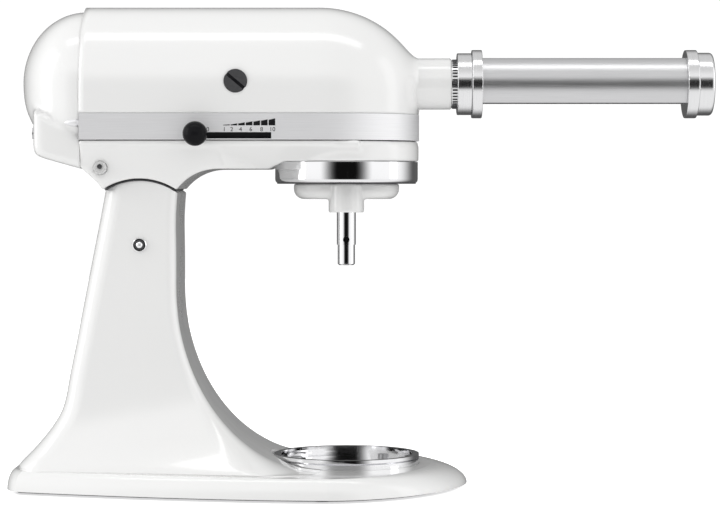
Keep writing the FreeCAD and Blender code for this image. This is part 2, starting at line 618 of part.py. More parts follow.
# ---------------------------------------------------------------- motor
def make_motor():
    stator = rod(40, -166, -106, (0, HUB_Z)).common(block(-200, -90, -44, 44, HUB_Z - 36, HUB_Z + 36))
    save("field_stator", stator.cut(rod(27.2, -180, -90, (0, HUB_Z))))
    shaft = rod(5, -203, -44, (0, HUB_Z))
    twist = 2 * math.pi / WORM_LEAD
    worm = helical(4, WORM_R, WORM_X0, WORM_X1, WORM_PHASE, twist, 16, GEAR_MODULE, (0.40, 0.18))
    worm = along_x(worm, 0, 0, HUB_Z)
    save("motor_shaft", merged(shaft, [worm, rod(5, -46, WORM_X0 + 1, (0, HUB_Z))]))
    core = pipe(26.5, 5, -164, -108, (0, HUB_Z))
    slots = []
    for k in range(12):
        cut = block(-170, -100, -1.5, 1.5, 20, 30)
        cut.rotate(Vector(0, 0, 0), X, 30 * k)
        cut.translate(Vector(0, 0, HUB_Z))
        slots.append(cut)
    save("armature_core", core.cut(group(slots)))
    save("commutator", pipe(14, 5, -91, -68, (0, HUB_Z)))
    fan = pipe(12, 5, -182, -170, (0, HUB_Z)).fuse(pipe(30, 10, -172, -170, (0, HUB_Z)))
    blades = []
    for k in range(9):
        blade = block(-182, -171, -0.8, 0.8, 10, 30)
        blade.rotate(Vector(0, 0, 0), X, 40 * k)
        blade.translate(Vector(0, 0, HUB_Z))
        blades.append(blade)
    save("cooling_fan", merged(fan, blades))
    bearings = [pipe(BEARING_R, 5 + RUNNING, -58, -52, (0, HUB_Z)), pipe(9, 5 + RUNNING, -198, -192, (0, HUB_Z))]
    save("motor_bearings", group(bearings))
    bracket = block(-198, -192.2, -47, 47, HUB_Z - 13, HUB_Z + 13)
    save("rear_bearing_bracket", bracket.cut(rod(9, -210, -180, (0, HUB_Z))))
    holders, brushes, caps = [], [], []
    for s in (-1, 1):
        lo, hi = sorted((s * 18, s * (HEAD_HALF - 7)))
        tube = rod(7, lo, hi, (BRUSH_X, HUB_Z), "y")
        cavity = block(BRUSH_X - 3.6, BRUSH_X + 3.6, lo - 1, hi + 1, HUB_Z - 3.6, HUB_Z + 3.6)
        holders.append(tube.cut(cavity))
        lo, hi = sorted((s * 14.2, s * 34))
        brushes.append(block(BRUSH_X - 3.5, BRUSH_X + 3.5, lo, hi, HUB_Z - 3.5, HUB_Z + 3.5))
        cap = rod(BRUSH_CAP_R, s * (HEAD_HALF - 7), s * (HEAD_HALF + 0.4), (BRUSH_X, HUB_Z), "y")
        lo, hi = sorted((s * (HEAD_HALF - 1.2), s * (HEAD_HALF + 2)))
        groove = block(-12, 12, lo, hi, -1.1, 1.1)
        groove.rotate(Vector(0, 0, 0), Y, 40)
        groove.translate(Vector(BRUSH_X, 0, HUB_Z))
        caps.append(cap.cut(groove))
    save("brush_holders", group(holders))
    save("carbon_brushes", group(brushes))
    save("brush_caps", group(caps))


def lay_place():
    """Lay shaft axis: beside the worm and one spur centre distance from the planetary axis."""
    reach = LAY_TEETH[1] + CENTRE_TEETH[1]
    return (-math.sqrt(reach ** 2 - LAY_Y ** 2), LAY_Y)


def bevel_gear(teeth, radius, mate_radius, depth, bore, back):
    """Bevel gear about Z, apex at the origin, its pitch circle below the apex by mate_radius."""
    module = 2 * radius / teeth
    cone = math.atan2(radius, mate_radius)
    along = Vector(math.sin(cone), 0, -math.cos(cone))
    normal = Vector(math.cos(cone), 0, math.sin(cone))
    length = math.hypot(radius, mate_radius)
    scale = 1 - depth / length
    outer_root = along * length - normal * module
    inner_root = outer_root * scale
    z_back = outer_root.z - back
    profile = [Vector(bore, 0, inner_root.z), inner_root, outer_root, Vector(outer_root.x, 0, z_back),
               Vector(bore, 0, z_back)]
    body = Part.Face(Part.makePolygon(profile + profile[:1])).revolve(Vector(0, 0, 0), Z, 360)
    pitch = 2 * math.pi * radius / teeth
    solids = []
    for k in range(teeth):
        ends = []
        for s in (1.0, scale):
            quad = []
            for side, high in ((-1, False), (-1, True), (1, True), (1, False)):
                width = pitch * (0.24 if high else 0.58) / 2
                lift = RAMP * module if high else -module * 1.15
                p = along * length + normal * lift + Vector(0, side * width, 0)
                quad.append(p * s)
            ends.append(Part.makePolygon(quad + quad[:1]))
        tooth = Part.makeLoft(ends, True, True)
        tooth.rotate(Vector(0, 0, 0), Z, 360.0 * k / teeth)
        solids.append(tooth)
    return merged(body, solids)


def make_gear_train():
    lay = lay_place()
    twist = math.tan(math.atan2(WORM_LEAD, 2 * math.pi * WORM_R)) / WHEEL_TEETH[1]
    wheel = helical(WHEEL_TEETH[0], WHEEL_TEETH[1], -5, 5, -math.pi / 2 + WHEEL_PHASE, twist, 4, GEAR_MODULE)
    wheel = wheel.cut(rod(LAY_R, -8, 8, (0, 0), "z"))
    wheel.translate(Vector(lay[0], lay[1], HUB_Z))
    save("worm_wheel", wheel)
    floor = GEARCASE_Z + FLOOR
    z0, z1 = BAND_BOTTOM + 2.5, BAND_BOTTOM + 11
    to_centre = math.atan2(-lay[1], -lay[0])
    pinion = spur_gear(LAY_TEETH[0], LAY_TEETH[1], z0, z1, to_centre, LAY_R - 1)
    pinion.translate(Vector(lay[0], lay[1], 0))
    save("lay_shaft", merged(pinion, [rod(LAY_R, floor - 2.8, HUB_Z + 17, lay, "z")]))
    gear = spur_gear(CENTRE_TEETH[0], CENTRE_TEETH[1], z0, z1, to_centre + math.pi + math.pi / CENTRE_TEETH[0],
                     SHAFT_R)
    bevel = bevel_gear(BEVEL_BIG[0], BEVEL_BIG[1], BEVEL_SMALL[1], 7.0, SHAFT_R, 3.0)
    bevel.translate(Vector(0, 0, HUB_Z))
    low = bevel.BoundBox.ZMin
    neck = pipe(14, SHAFT_R, z1 - 1, low + 1, (0, 0), "z")
    save("centre_gear", merged(gear, [neck, bevel]))
    save("centre_shaft", rod(SHAFT_R, RING_Z0 - 8, HUB_Z - 16, (0, 0), "z"))
    bush = pipe(BUSH_R, SHAFT_R + RUNNING, GEARCASE_Z - 1, floor + 2, (0, 0), "z")
    save("centre_bushing", bush)
    hub_gear = bevel_gear(BEVEL_SMALL[0], BEVEL_SMALL[1], BEVEL_BIG[1], 6.5, 2.0, 2.0)
    hub_gear.rotate(Vector(0, 0, 0), Z, 180.0 / BEVEL_SMALL[0])
    hub_gear.rotate(Vector(0, 0, 0), Y, -90)
    hub_gear.translate(Vector(0, 0, HUB_Z))
    front = hub_gear.BoundBox.XMax
    socket = rod(8, front - 1, HUB_SOCKET, (0, HUB_Z))
    hub_gear = merged(hub_gear, [socket])
    half = SQUARE / 2 + 0.15
    hub_gear = hub_gear.cut(block(HUB_SOCKET - 11, HUB_SOCKET + 1, -half, half, HUB_Z - half, HUB_Z + half))
    save("hub_bevel_gear", hub_gear)
    save("hub_bushing", pipe(SHANK_R + 0.1, 8 + RUNNING, front + 1.5, HUB_SOCKET - 2, (0, HUB_Z)))
    plate = block(WEB_X1, -12, 10, 42, HUB_Z + 11, HUB_Z + 16)
    save("gear_bracket", plate.cut(rod(LAY_R + RUNNING, HUB_Z, HUB_Z + 30, lay, "z")))


def make_planetary():
    z0 = RING_Z0 - 11.6
    corners = [(-39, -29), (39, -29), (39, 29), (-39, 29)]
    wing = Part.Face(rounded_polygon(corners, [26] * 4, z0)).extrude(Vector(0, 0, 11.2))
    low = [e for e in wing.Edges if abs(e.BoundBox.ZMax - z0) < 0.01]
    wing = wing.makeFillet(7.5, low)
    collar = rod(BEATER_COLLAR_R, z0 - 9.7, RING_Z0 - 0.4, (0, -BEATER_OFFSET), "z")
    post = rod(SHAFT_R + 4, RING_Z0 - 3, GEARCASE_Z - 2, (0, 0), "z")
    hub = merged(wing, [collar, post])
    hub = hub.cut(rod(SHAFT_R, RING_Z0 - 8, 260, (0, 0), "z"))
    hub = hub.cut(rod(BEATER_R + RUNNING, 190, 230, (0, -BEATER_OFFSET), "z"))
    hub = hub.cut(rod(2, -SHAFT_R - 3, SHAFT_R + 3, (0, RING_Z0 + 13), "y"))
    save("planetary_hub", hub.cut(rod(PINION_TEETH[1] + 1.9, RING_Z0 + 1, 245, (0, -BEATER_OFFSET), "z")))
    shaft = rod(BEATER_R, BEATER_TIP_TOP, RING_Z0 + 11.5, (0, -BEATER_OFFSET), "z")
    end = rod(BEATER_TIP_R, BEATER_TIP_Z, BEATER_TIP_TOP + 1, (0, -BEATER_OFFSET), "z")
    tip = [e for e in end.Edges if abs(e.BoundBox.ZMax - BEATER_TIP_Z) < 0.01]
    shaft = merged(shaft, [end.makeChamfer(1.0, tip)])
    save("beater_shaft", shaft.cut(rod(CROSS_PIN_R, -60, 20, (0, CROSS_PIN_Z), "y")))
    pin = rod(CROSS_PIN_R, -BEATER_OFFSET - 9.5, -BEATER_OFFSET + 9.5, (0, CROSS_PIN_Z), "y")
    save("beater_cross_pin", pin)
    teeth, radius = PINION_TEETH
    pinion = spur_gear(teeth, radius, RING_Z0 + 3, RING_Z0 + 10, -math.pi / 2, BEATER_R)
    pinion.translate(Vector(0, -BEATER_OFFSET, 0))
    save("beater_pinion", pinion)


# ---------------------------------------------------------------- controls
def make_controls():
    stem = block(SPEED_X0 - 3, SPEED_X0 + 3, -HEAD_HALF - 6, -HEAD_HALF + 12, SPEED_Z - 1.2, SPEED_Z + 1.2)
    runner = block(SPEED_X0 - 10, SPEED_X0 + 10, -HEAD_HALF + 9, -HEAD_HALF + 12, SPEED_Z - 1.8, SPEED_Z + 1.8)
    save("speed_lever", merged(stem, [runner]))
    knob_y = -HEAD_HALF - 6 - KNOB_R + 3.5
    ball = Part.makeSphere(KNOB_R, Vector(SPEED_X0, knob_y, SPEED_Z + 1))
    save("speed_knob", ball.cut(stem))
    # head lock on the far side of the neck, and the hub clamp screw
    y0 = LOCK_Y
    pivot = (HINGE_X - 6, LOCK_Z)
    spindle = rod(4, y0 - 14, y0 + 4, pivot, "y")
    arm = block(pivot[0], pivot[0] + 30, y0, y0 + 4, pivot[1] - 3.5, pivot[1] + 3.5)
    arm = merged(spindle, [rod(7, y0, y0 + 4, pivot, "y"), arm])
    save("lock_lever", arm)
    save("lock_knob", Part.makeSphere(7.5, Vector(pivot[0] + 34, y0 + 7.5, pivot[1])).cut(arm))
    knob = rod(11, HUB_R + 4, HUB_R + 18, (CLAMP_X, HUB_Z), "y")
    grips = []
    for k in range(12):
        a = 2 * math.pi * k / 12
        spot = (CLAMP_X + 11.6 * math.cos(a), HUB_Z + 11.6 * math.sin(a))
        grips.append(rod(1.8, HUB_R + 3, HUB_R + 19, spot, "y"))
    save("hub_clamp_knob", knob.cut(group(grips)))
    stud = rod(CLAMP_R - RUNNING, SHANK_R + 0.3, HUB_R + 6, (CLAMP_X, HUB_Z), "y")
    save("hub_clamp_screw", stud.fuse(rod(6, HUB_R + 0.6, HUB_R + 4, (CLAMP_X, HUB_Z), "y")))
    plate = block(SPEED_X0 - 20, SPEED_X0 + SPEED_TRAVEL + 20, -HEAD_HALF + 18, -HEAD_HALF + 20, BAND_BOTTOM + 0.5, BAND_TOP)
    save("speed_control_plate", plate)


# ---------------------------------------------------------------- pasta cutter
def make_cutter():
    back = HUB_FRONT - SHANK_LENGTH
    shank = rod(SHANK_R, back, HUB_FRONT + 0.3, (0, HUB_Z))
    collar = rod(HUB_R - 1, HUB_FRONT + 0.3, CASE_X0, (0, HUB_Z))
    shank = merged(shank, [collar]).cut(rod(7.2, back - 1, CASE_X0 + 1, (0, HUB_Z)))
    save("cutter_shank", shank)
    case = pipe(22.9, 19.5, CASE_X0, CASE_X1, (0, HUB_Z))
    case = merged(case, [pipe(22.9, 7.2, CASE_X0, CASE_X0 + 1.5, (0, HUB_Z))])
    save("cutter_gear_case", case)
    plates = {}
    for name, x0, x1 in (("cutter_inner_plate", CASE_X1, INNER_PLATE_X1),
                         ("cutter_outer_plate", OUTER_PLATE_X0, OUTER_PLATE_X1)):
        plate = rod(25.3, x0, x1, (0, HUB_Z))
        for s in (-1, 1):
            plate = plate.cut(rod(CUT_BUSH_R, x0 - 1, x1 + 1, (s * CUT_AXIS_Y, HUB_Z)))
        if name == "cutter_inner_plate":
            plate = plate.cut(rod(19.8, x0 - 1, x1 - 3.2, (0, HUB_Z)))
        plates[name] = plate
    for name in plates:
        save(name, plates[name])
    shroud = pipe(SHROUD_R, SHROUD_R - SHROUD_WALL, INNER_PLATE_X1 + 0.1, OUTER_PLATE_X0 - 0.1, (0, HUB_Z))
    feed = block(INNER_PLATE_X1, OUTER_PLATE_X0, -FEED_HALF, FEED_HALF, HUB_Z, HUB_Z + 40)
    outlet = block(INNER_PLATE_X1, OUTER_PLATE_X0, -40, 40, HUB_Z - 40, HUB_Z - 14.2)
    shroud = shroud.cut(feed.fuse(outlet))
    save("cutter_shroud", shroud)
    cap = rod(23.3, OUTER_PLATE_X1, CAP_FRONT, (0, HUB_Z))
    rim = [e for e in cap.Edges if abs(e.BoundBox.XMin - CAP_FRONT) < 0.01]
    cap = cap.makeFillet(2.5, rim)
    save("cutter_end_cap", cap.cut(rod(18, OUTER_PLATE_X1 - 1, CAP_FRONT - 3, (0, HUB_Z))))
    bushes = []
    for s in (-1, 1):
        for x0, x1 in ((INNER_PLATE_X1 - 3.2, INNER_PLATE_X1), (OUTER_PLATE_X0, OUTER_PLATE_X1)):
            bushes.append(pipe(CUT_BUSH_R, CUT_SHAFT_R + RUNNING, x0, x1, (s * CUT_AXIS_Y, HUB_Z)))
    save("roller_bushings", group(bushes))
    drive = rod(4, HUB_SOCKET + 1, CASE_X0 + 1.7, (0, HUB_Z))
    half = SQUARE / 2
    square = block(HUB_SOCKET - 10, HUB_SOCKET + 6, -half, half, HUB_Z - half, HUB_Z + half)
    pinion = along_x(spur_gear(8, 0.4 * CUT_AXIS_Y, 0, 4.5, -math.pi / 2, 1), CASE_X0 + 2, 0, HUB_Z)
    drive = merged(drive, [square, pinion, rod(1.5, CASE_X0, CASE_X0 + 6, (0, HUB_Z))])
    save("cutter_drive_shaft", drive)
    x_sync = CASE_X1 - 3.0
    for s, name in ((-1, "front"), (1, "rear")):
        offset = 0 if s < 0 else CUT_PITCH / 2
        start = CASE_X0 + 3 if s < 0 else x_sync - 1
        roller = rod(CUT_SHAFT_R, start, OUTER_PLATE_X1 + 1, (s * CUT_AXIS_Y, HUB_Z))
        core = rod(CUT_CORE_R, INNER_PLATE_X1 + 1, OUTER_PLATE_X0 - 1, (s * CUT_AXIS_Y, HUB_Z))
        discs = []
        x = INNER_PLATE_X1 + 5 + offset
        while x + CUT_PITCH / 2 < OUTER_PLATE_X0 - 4:
            discs.append(rod(CUT_R, x, x + CUT_PITCH / 2 - 0.2, (s * CUT_AXIS_Y, HUB_Z)))
            x += CUT_PITCH
        save("%s_cutter_roller" % name, merged(roller, [core] + discs))
        phase = -s * math.pi / 2 + (math.pi / SYNC_TEETH if s > 0 else 0)
        gear = along_x(spur_gear(SYNC_TEETH, CUT_AXIS_Y, 0, 5, phase, CUT_SHAFT_R), x_sync, s * CUT_AXIS_Y, HUB_Z)
        if s < 0:
            driven = spur_gear(12, 0.6 * CUT_AXIS_Y, 0, 4.5, math.pi / 2 + math.pi / 12, CUT_SHAFT_R)
            driven = along_x(driven, CASE_X0 + 2, s * CUT_AXIS_Y, HUB_Z)
            sleeve = pipe(3.7, CUT_SHAFT_R, CASE_X0 + 6, x_sync + 1, (s * CUT_AXIS_Y, HUB_Z))
            gear = merged(gear, [driven, sleeve])
        save("%s_sync_gear" % name, gear)
    combs = []
    for s in (-1, 1):
        x = INNER_PLATE_X1 + 0.2
        bar = block(x, OUTER_PLATE_X0 - 0.2, min(s * 13.0, s * 11.2), max(s * 13.0, s * 11.2),
                    HUB_Z - 12.8, HUB_Z - 10.8)
        combs.append(bar)
    save("stripper_combs", group(combs))
    screws = []
    for a in (math.radians(35), math.radians(145), math.radians(270)):
        place = (17.5 * math.cos(a) * 1.15, HUB_Z + 17.5 * math.sin(a) * 1.15)
        screws.append(rod(1.6, OUTER_PLATE_X0 + 2, CAP_FRONT - 2.2, place))
    save("cutter_tie_screws", group(screws))


make_pedestal()
make_bowl_plate()
make_upper_housing()
make_lower_housing()
make_rear_cover()
make_band()
make_ring()
make_motor()
make_gear_train()
make_planetary()
make_controls()
make_cutter()
print("nodes written:", COUNT[0])
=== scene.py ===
# %% Load the frame
import json
import math
import bmesh
import bpy
import numpy as np
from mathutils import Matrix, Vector


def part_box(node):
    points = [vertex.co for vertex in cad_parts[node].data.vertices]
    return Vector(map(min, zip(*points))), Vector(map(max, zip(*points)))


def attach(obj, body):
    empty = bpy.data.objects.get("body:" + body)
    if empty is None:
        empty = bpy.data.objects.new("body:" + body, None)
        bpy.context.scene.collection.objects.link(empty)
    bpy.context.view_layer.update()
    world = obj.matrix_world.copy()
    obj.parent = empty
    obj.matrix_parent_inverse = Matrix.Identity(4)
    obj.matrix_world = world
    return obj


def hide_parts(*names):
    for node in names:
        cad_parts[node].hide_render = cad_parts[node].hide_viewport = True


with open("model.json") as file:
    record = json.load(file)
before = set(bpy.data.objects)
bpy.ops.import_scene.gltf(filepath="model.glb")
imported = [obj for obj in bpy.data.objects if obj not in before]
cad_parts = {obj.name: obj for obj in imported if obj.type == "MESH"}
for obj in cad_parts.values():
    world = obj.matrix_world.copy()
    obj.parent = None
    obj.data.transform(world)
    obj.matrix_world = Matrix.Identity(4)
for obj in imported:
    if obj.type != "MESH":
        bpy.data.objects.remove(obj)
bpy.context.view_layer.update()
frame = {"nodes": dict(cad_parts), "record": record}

# %% [markdown]
# # A white tilt-head stand mixer with a pasta cutter
# The machine is cast metal under thick glossy enamel, trimmed with a satin aluminium band,
# a chromed drip ring and bowl plate, and a brushed steel cutter plugged into its front hub.
# The frame holds every piece where it belongs. This script gives the pieces their finish,
# and remakes the ones whose real shape is softer than plain solids can say.
#
# ## Where things are
# Positions are read from the frame's boxes, so nothing is fitted by eye. One helper gives a
# piece's middle, because turned parts are described from their axis.

# %% Places read from the frame
MM = 0.001


def middle(node):
    """The middle of a CAD node's box: half the sum of its lowest and highest corners."""
    low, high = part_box(node)
    return (Vector(low) + Vector(high)) / 2


def corners(node):
    """Lowest and highest corner of a CAD node as two numpy arrays."""
    low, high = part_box(node)
    return np.array(low), np.array(high)


beater_axis = middle("centre_shaft")
hub_axis = middle("cutter_end_cap")
print("beater axis x %.4f, hub axis z %.4f" % (beater_axis.x, hub_axis.z))

# %% [markdown]
# ## Shader maths that reads like maths
# A finish is a formula over the surface. `Val` wraps one socket and overloads the arithmetic
# operators, so `0.1 + 0.05 * grain` adds the right Math nodes. `Finish` makes a material and
# has one method for every other kind of node.


# %% Shader helpers
class Val:
    """A number that varies over the surface: one output socket, with + - * / that add Math nodes."""

    def __init__(self, finish, socket):
        self.finish, self.socket = finish, socket

    def _math(self, operation, a, b):
        """One Math node on two numbers or Vals."""
        return self.finish.node("ShaderNodeMath", {"operation": operation}, {0: a, 1: b})

    def __add__(self, other):
        return self._math("ADD", self, other)

    __radd__ = __add__

    def __sub__(self, other):
        return self._math("SUBTRACT", self, other)

    def __rsub__(self, other):
        return self._math("SUBTRACT", other, self)

    def __mul__(self, other):
        return self._math("MULTIPLY", self, other)

    __rmul__ = __mul__

    def between(self, low, high):
        """Smooth step: 0 below low, 1 above high."""
        return self.finish.node("ShaderNodeMapRange", {"interpolation_type": "SMOOTHSTEP"},
                                {"Value": self, "From Min": low, "From Max": high})


class Finish:
    """A material on one Principled shader."""

    def __init__(self, name, **constants):
        self.material = bpy.data.materials.new(name)
        self.material.use_nodes = True
        self.tree = self.material.node_tree
        self.shader = self.tree.nodes["Principled BSDF"]
        self.place = self.node("ShaderNodeTexCoord", {}, {}, "Object")
        for socket, value in constants.items():
            self.set(socket.replace("_", " "), value)

    def node(self, kind, settings, inputs, out=0):
        """One node: its settings first, then its sockets' values or links; gives the chosen output."""
        made = self.tree.nodes.new(kind)
        for key, value in settings.items():
            setattr(made, key, value)
        for key, value in inputs.items():
            if isinstance(value, Val):
                self.tree.links.new(value.socket, made.inputs[key])
            else:
                made.inputs[key].default_value = value
        return Val(self, made.outputs[out])

    def set(self, socket, value):
        """Set or link one socket of the shader."""
        if isinstance(value, Val):
            self.tree.links.new(value.socket, self.shader.inputs[socket])
        else:
            self.shader.inputs[socket].default_value = value

    def noise(self, scale, detail=3.0, stretch=(1, 1, 1)):
        """Noise between 0 and 1; scale is waves per metre, stretched along the three axes."""
        spot = self.node("ShaderNodeMapping", {}, {"Vector": self.place, "Scale": stretch})
        return self.node("ShaderNodeTexNoise", {}, {"Vector": spot, "Scale": scale, "Detail": detail})

    def blend(self, amount, first, second):
        """Colour that goes from first to second as amount goes from 0 to 1."""
        mix = self.node("ShaderNodeMix", {"data_type": "RGBA"}, {0: amount}, 2)
        node = mix.socket.node
        for socket, colour in ((node.inputs[6], first), (node.inputs[7], second)):
            if isinstance(colour, Val):
                self.tree.links.new(colour.socket, socket)
            else:
                socket.default_value = (*colour, 1.0)
        return mix

    def bump(self, height, depth, strength=1.0):
        """Bend the surface's normal by a height pattern; depth is in metres."""
        sockets = {"Height": height, "Distance": depth, "Strength": strength}
        self.set("Normal", self.node("ShaderNodeBump", {}, sockets, "Normal"))


# %% [markdown]
# ## The finishes
# Enamel is white, glossy and very slightly rippled, like the skin of an orange: a clear coat over
# a soft cloud of two whites. Brushed metal has hair-fine lines that run one way, so its noise is
# stretched hard along that way. Chrome is nearly a mirror, with faint handling marks.

# %% Enamel, brushed metal and chrome
def enamel():
    """White enamel under a clear coat; the cloud is waves of about a decimetre."""
    f = Finish("white enamel", Specular_IOR_Level=0.5, Coat_Roughness=0.03, Coat_IOR=1.5)
    cloud = f.noise(9.0, 2.0)
    f.set("Base Color", f.blend(cloud, (0.86, 0.86, 0.852), (0.885, 0.885, 0.88)))
    f.set("Coat Weight", 0.55 + 0.25 * cloud)
    f.set("Roughness", 0.16 + 0.07 * f.noise(40.0, 2.0))
    f.bump(f.noise(420.0, 2.0), 0.00010, 0.10)
    return f.material


def brushed(name, light, dark, stretch, lines, roughness, depth=0.00005, metallic=1.0):
    """Metal with hair lines: noise of `lines` waves per metre across, a few along."""
    f = Finish(name, Metallic=metallic)
    hair = f.noise(lines, 2.0, stretch)
    patch = f.noise(30.0, 2.0)
    f.set("Base Color", f.blend(hair, dark, light))
    f.set("Roughness", roughness - 0.06 + 0.12 * hair + 0.05 * patch)
    f.bump(hair, depth, 0.25)
    return f.material


def chrome():
    """A mirror with smears, and fine scratches where the noise is above a threshold."""
    f = Finish("polished chrome", Metallic=1.0)
    smear = f.noise(35.0, 3.0)
    scratch = f.noise(900.0, 2.0, (1, 1, 0.06)).between(0.62, 0.75)
    f.set("Base Color", f.blend(smear, (0.80, 0.80, 0.81), (0.86, 0.86, 0.87)))
    f.set("Roughness", 0.035 + 0.05 * smear + 0.10 * scratch)
    f.bump(f.noise(160.0, 2.0), 0.00004, 0.15)
    return f.material


# %% [markdown]
# Plastic and rubber get a fine moulded grain. The turned and cut parts inside are duller metal with
# rings of tool marks and patches of oil, and the motor's iron core is stacked from thin sheets.

# %% Plastic, machined metal and laminated iron
def moulded(name, colour, roughness, grain=700.0, depth=0.00008, gloss=0.5):
    """Plastic or rubber with a fine moulded grain; gloss is how strongly it mirrors."""
    f = Finish(name, Specular_IOR_Level=gloss)
    speck = f.noise(grain, 3.0)
    lighter = tuple(min(1.0, c * 1.5 + 0.004) for c in colour)
    f.set("Base Color", f.blend(speck, colour, lighter))
    f.set("Roughness", roughness + 0.12 * speck)
    f.bump(speck, depth, 0.3)
    return f.material


def machined(name, colour, roughness):
    """Turned or cut metal: fine rings of tool marks and a little oil."""
    f = Finish(name, Metallic=1.0)
    marks = f.noise(1600.0, 2.0, (1, 0.3, 0.3))
    oil = f.noise(60.0, 3.0).between(0.45, 0.7)
    darker = tuple(c * 0.72 for c in colour)
    f.set("Base Color", f.blend(oil, colour, darker))
    f.set("Roughness", roughness + 0.15 * marks - 0.08 * oil)
    f.bump(marks, 0.00005, 0.3)
    return f.material


def laminated():
    """Stacked iron sheets: fine stripes across the shaft."""
    f = Finish("iron laminations", Metallic=1.0)
    sheets = f.node("ShaderNodeTexWave", {"wave_type": "BANDS", "bands_direction": "X"},
                    {"Vector": f.place, "Scale": 320.0, "Distortion": 0.3}, "Fac")
    f.set("Base Color", f.blend(sheets, (0.20, 0.20, 0.21), (0.38, 0.38, 0.39)))
    f.set("Roughness", 0.45 + 0.2 * sheets)
    f.bump(sheets, 0.0001, 0.4)
    return f.material


# %% [markdown]
# The record names a material slot for each piece. Each slot gets one finish, and the colours are
# linear: 0.5 is a light grey. A stretch of 0.012 along an axis draws the noise out 80 times, so
# it leaves lines along that axis; two such axes leave lines that lie in their plane.

# %% Give every slot its finish
LEVEL_LINES, LINES_ALONG, LINES_ROUND = (0.012, 0.012, 1), (0.012, 1, 1), (1, 0.02, 0.02)
finish_of = {
    "white_enamel": enamel(),
    "satin_aluminium": brushed("satin aluminium", (0.93, 0.93, 0.94), (0.80, 0.80, 0.81),
                               LEVEL_LINES, 2600.0, 0.50, metallic=0.7),
    "chrome": chrome(),
    "brushed_steel": brushed("brushed steel", (0.70, 0.70, 0.705), (0.56, 0.56, 0.57),
                             LINES_ALONG, 2600.0, 0.32),
    "polished_steel": brushed("turned steel", (0.84, 0.84, 0.845), (0.72, 0.72, 0.73),
                              LINES_ROUND, 2000.0, 0.16, 0.00003),
    # Black phenolic also stands as painted shade behind the band's speed slot.
    "black_plastic": moulded("black phenolic and painted shade", (0.006, 0.006, 0.007), 0.10, 90.0, 0.00002, 0.05),
    # Dark plastic also stands as painted shade: in the neck gap, under the foot, under the drip ring and
    # round the hinge pin.
    "dark_plastic": moulded("dark plastic and painted shade", (0.035, 0.035, 0.038), 0.40),
    "rubber": moulded("rubber", (0.020, 0.020, 0.021), 0.62, 500.0),
    "gear_steel": machined("gear steel", (0.55, 0.55, 0.56), 0.26),
    "bronze": machined("bronze", (0.62, 0.42, 0.20), 0.30),
    "iron_laminations": laminated(),
    "copper": machined("copper", (0.78, 0.42, 0.27), 0.25),
    "carbon": moulded("carbon", (0.045, 0.045, 0.047), 0.45, 1200.0),
    "zinc_steel": machined("zinc plate", (0.66, 0.66, 0.67), 0.28),
}

slot_of = {s["node"]: s["material_slot"] for s in frame["record"]["subparts"]}
for name, node in frame["nodes"].items():
    for place in node.material_slots:
        place.material = finish_of[slot_of[name]]
print("finishes on", len(slot_of), "nodes")

# %% [markdown]
# ## Surfaces as arrays
# Most remade pieces are one grid of points: rows along the piece, columns round it. The points
# are worked out all at once with numpy, and neighbouring points become four-cornered faces.

# %% Grid helpers
SHIFT = beater_axis.x / MM            # drawings count X from the beater's axis, in millimetres
SEAM = 2e-6                           # points nearer than this are one: it closes seams and poles
POLE = 0.01                           # radius at which the end of a turned piece is closed


def build(name, vertices, faces, body, slot, replaces=(), material=None):
    """Put points (millimetres, X from the beater's axis) and faces into a mesh piece, facing outwards."""
    placed = (np.asarray(vertices, float).reshape(-1, 3) + [SHIFT, 0, 0]) * MM
    faces = np.asarray(faces)
    if enclosed(placed, faces) < 0:
        faces = faces[:, ::-1]
    mesh = bpy.data.meshes.new(name)
    mesh.from_pydata(placed.tolist(), [], faces.tolist())
    seams = bmesh.new()
    seams.from_mesh(mesh)
    bmesh.ops.remove_doubles(seams, verts=seams.verts, dist=SEAM)
    seams.to_mesh(mesh)
    seams.free()
    mesh.validate()
    mesh.shade_smooth()
    piece = bpy.data.objects.new(name, mesh)
    bpy.context.scene.collection.objects.link(piece)
    mesh.materials.append(material or finish_of[slot])
    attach(piece, body)
    for node in replaces:
        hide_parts(node)
    print("%s: %d points, %.1f cubic centimetres" % (name, len(placed), enclosed(placed, faces) * 1e6))
    return piece


def enclosed(points, faces):
    """Signed volume: a sixth of the sum of a . (b x c) over triangles, positive for outward faces."""
    p = points - points.mean(0)
    a, b, c, d = (p[faces[:, k]] for k in range(4))
    return ((a * np.cross(b, c)).sum() + (a * np.cross(c, d)).sum()) / 6


def grid_faces(rows, columns, wrap=False):
    """Corner numbers of every cell of a grid; wrap joins the last column to the first."""
    r, c = np.meshgrid(np.arange(rows - 1), np.arange(columns if wrap else columns - 1), indexing="ij")
    n = (c + 1) % columns
    here, below = r * columns, (r + 1) * columns
    return np.stack([here + c, below + c, below + n, here + n], -1).reshape(-1, 4)


def turned(profile, axis_at, along, steps):
    """A profile of (radius r, height h) turned round an axis: (r cos a, r sin a, h) for each angle a."""
    radius, height = np.asarray(profile, float).T
    a = np.linspace(0, 2 * np.pi, steps, endpoint=False)
    u, v = radius[:, None] * np.cos(a), radius[:, None] * np.sin(a)
    w = np.broadcast_to(height[:, None], u.shape)
    order = {"z": (u, v, w), "y": (v, w, u), "x": (w, u, v)}[along]
    return np.stack(order, -1) + np.asarray(axis_at, float)


def spun(name, profile, axis_at, along, steps, body, slot, replaces=()):
    """A turned piece: its profile goes round the axis, and each cell of the grid is a face."""
    grid = turned(profile, axis_at, along, steps)
    return build(name, grid, grid_faces(*grid.shape[:2], wrap=True), body, slot, replaces)


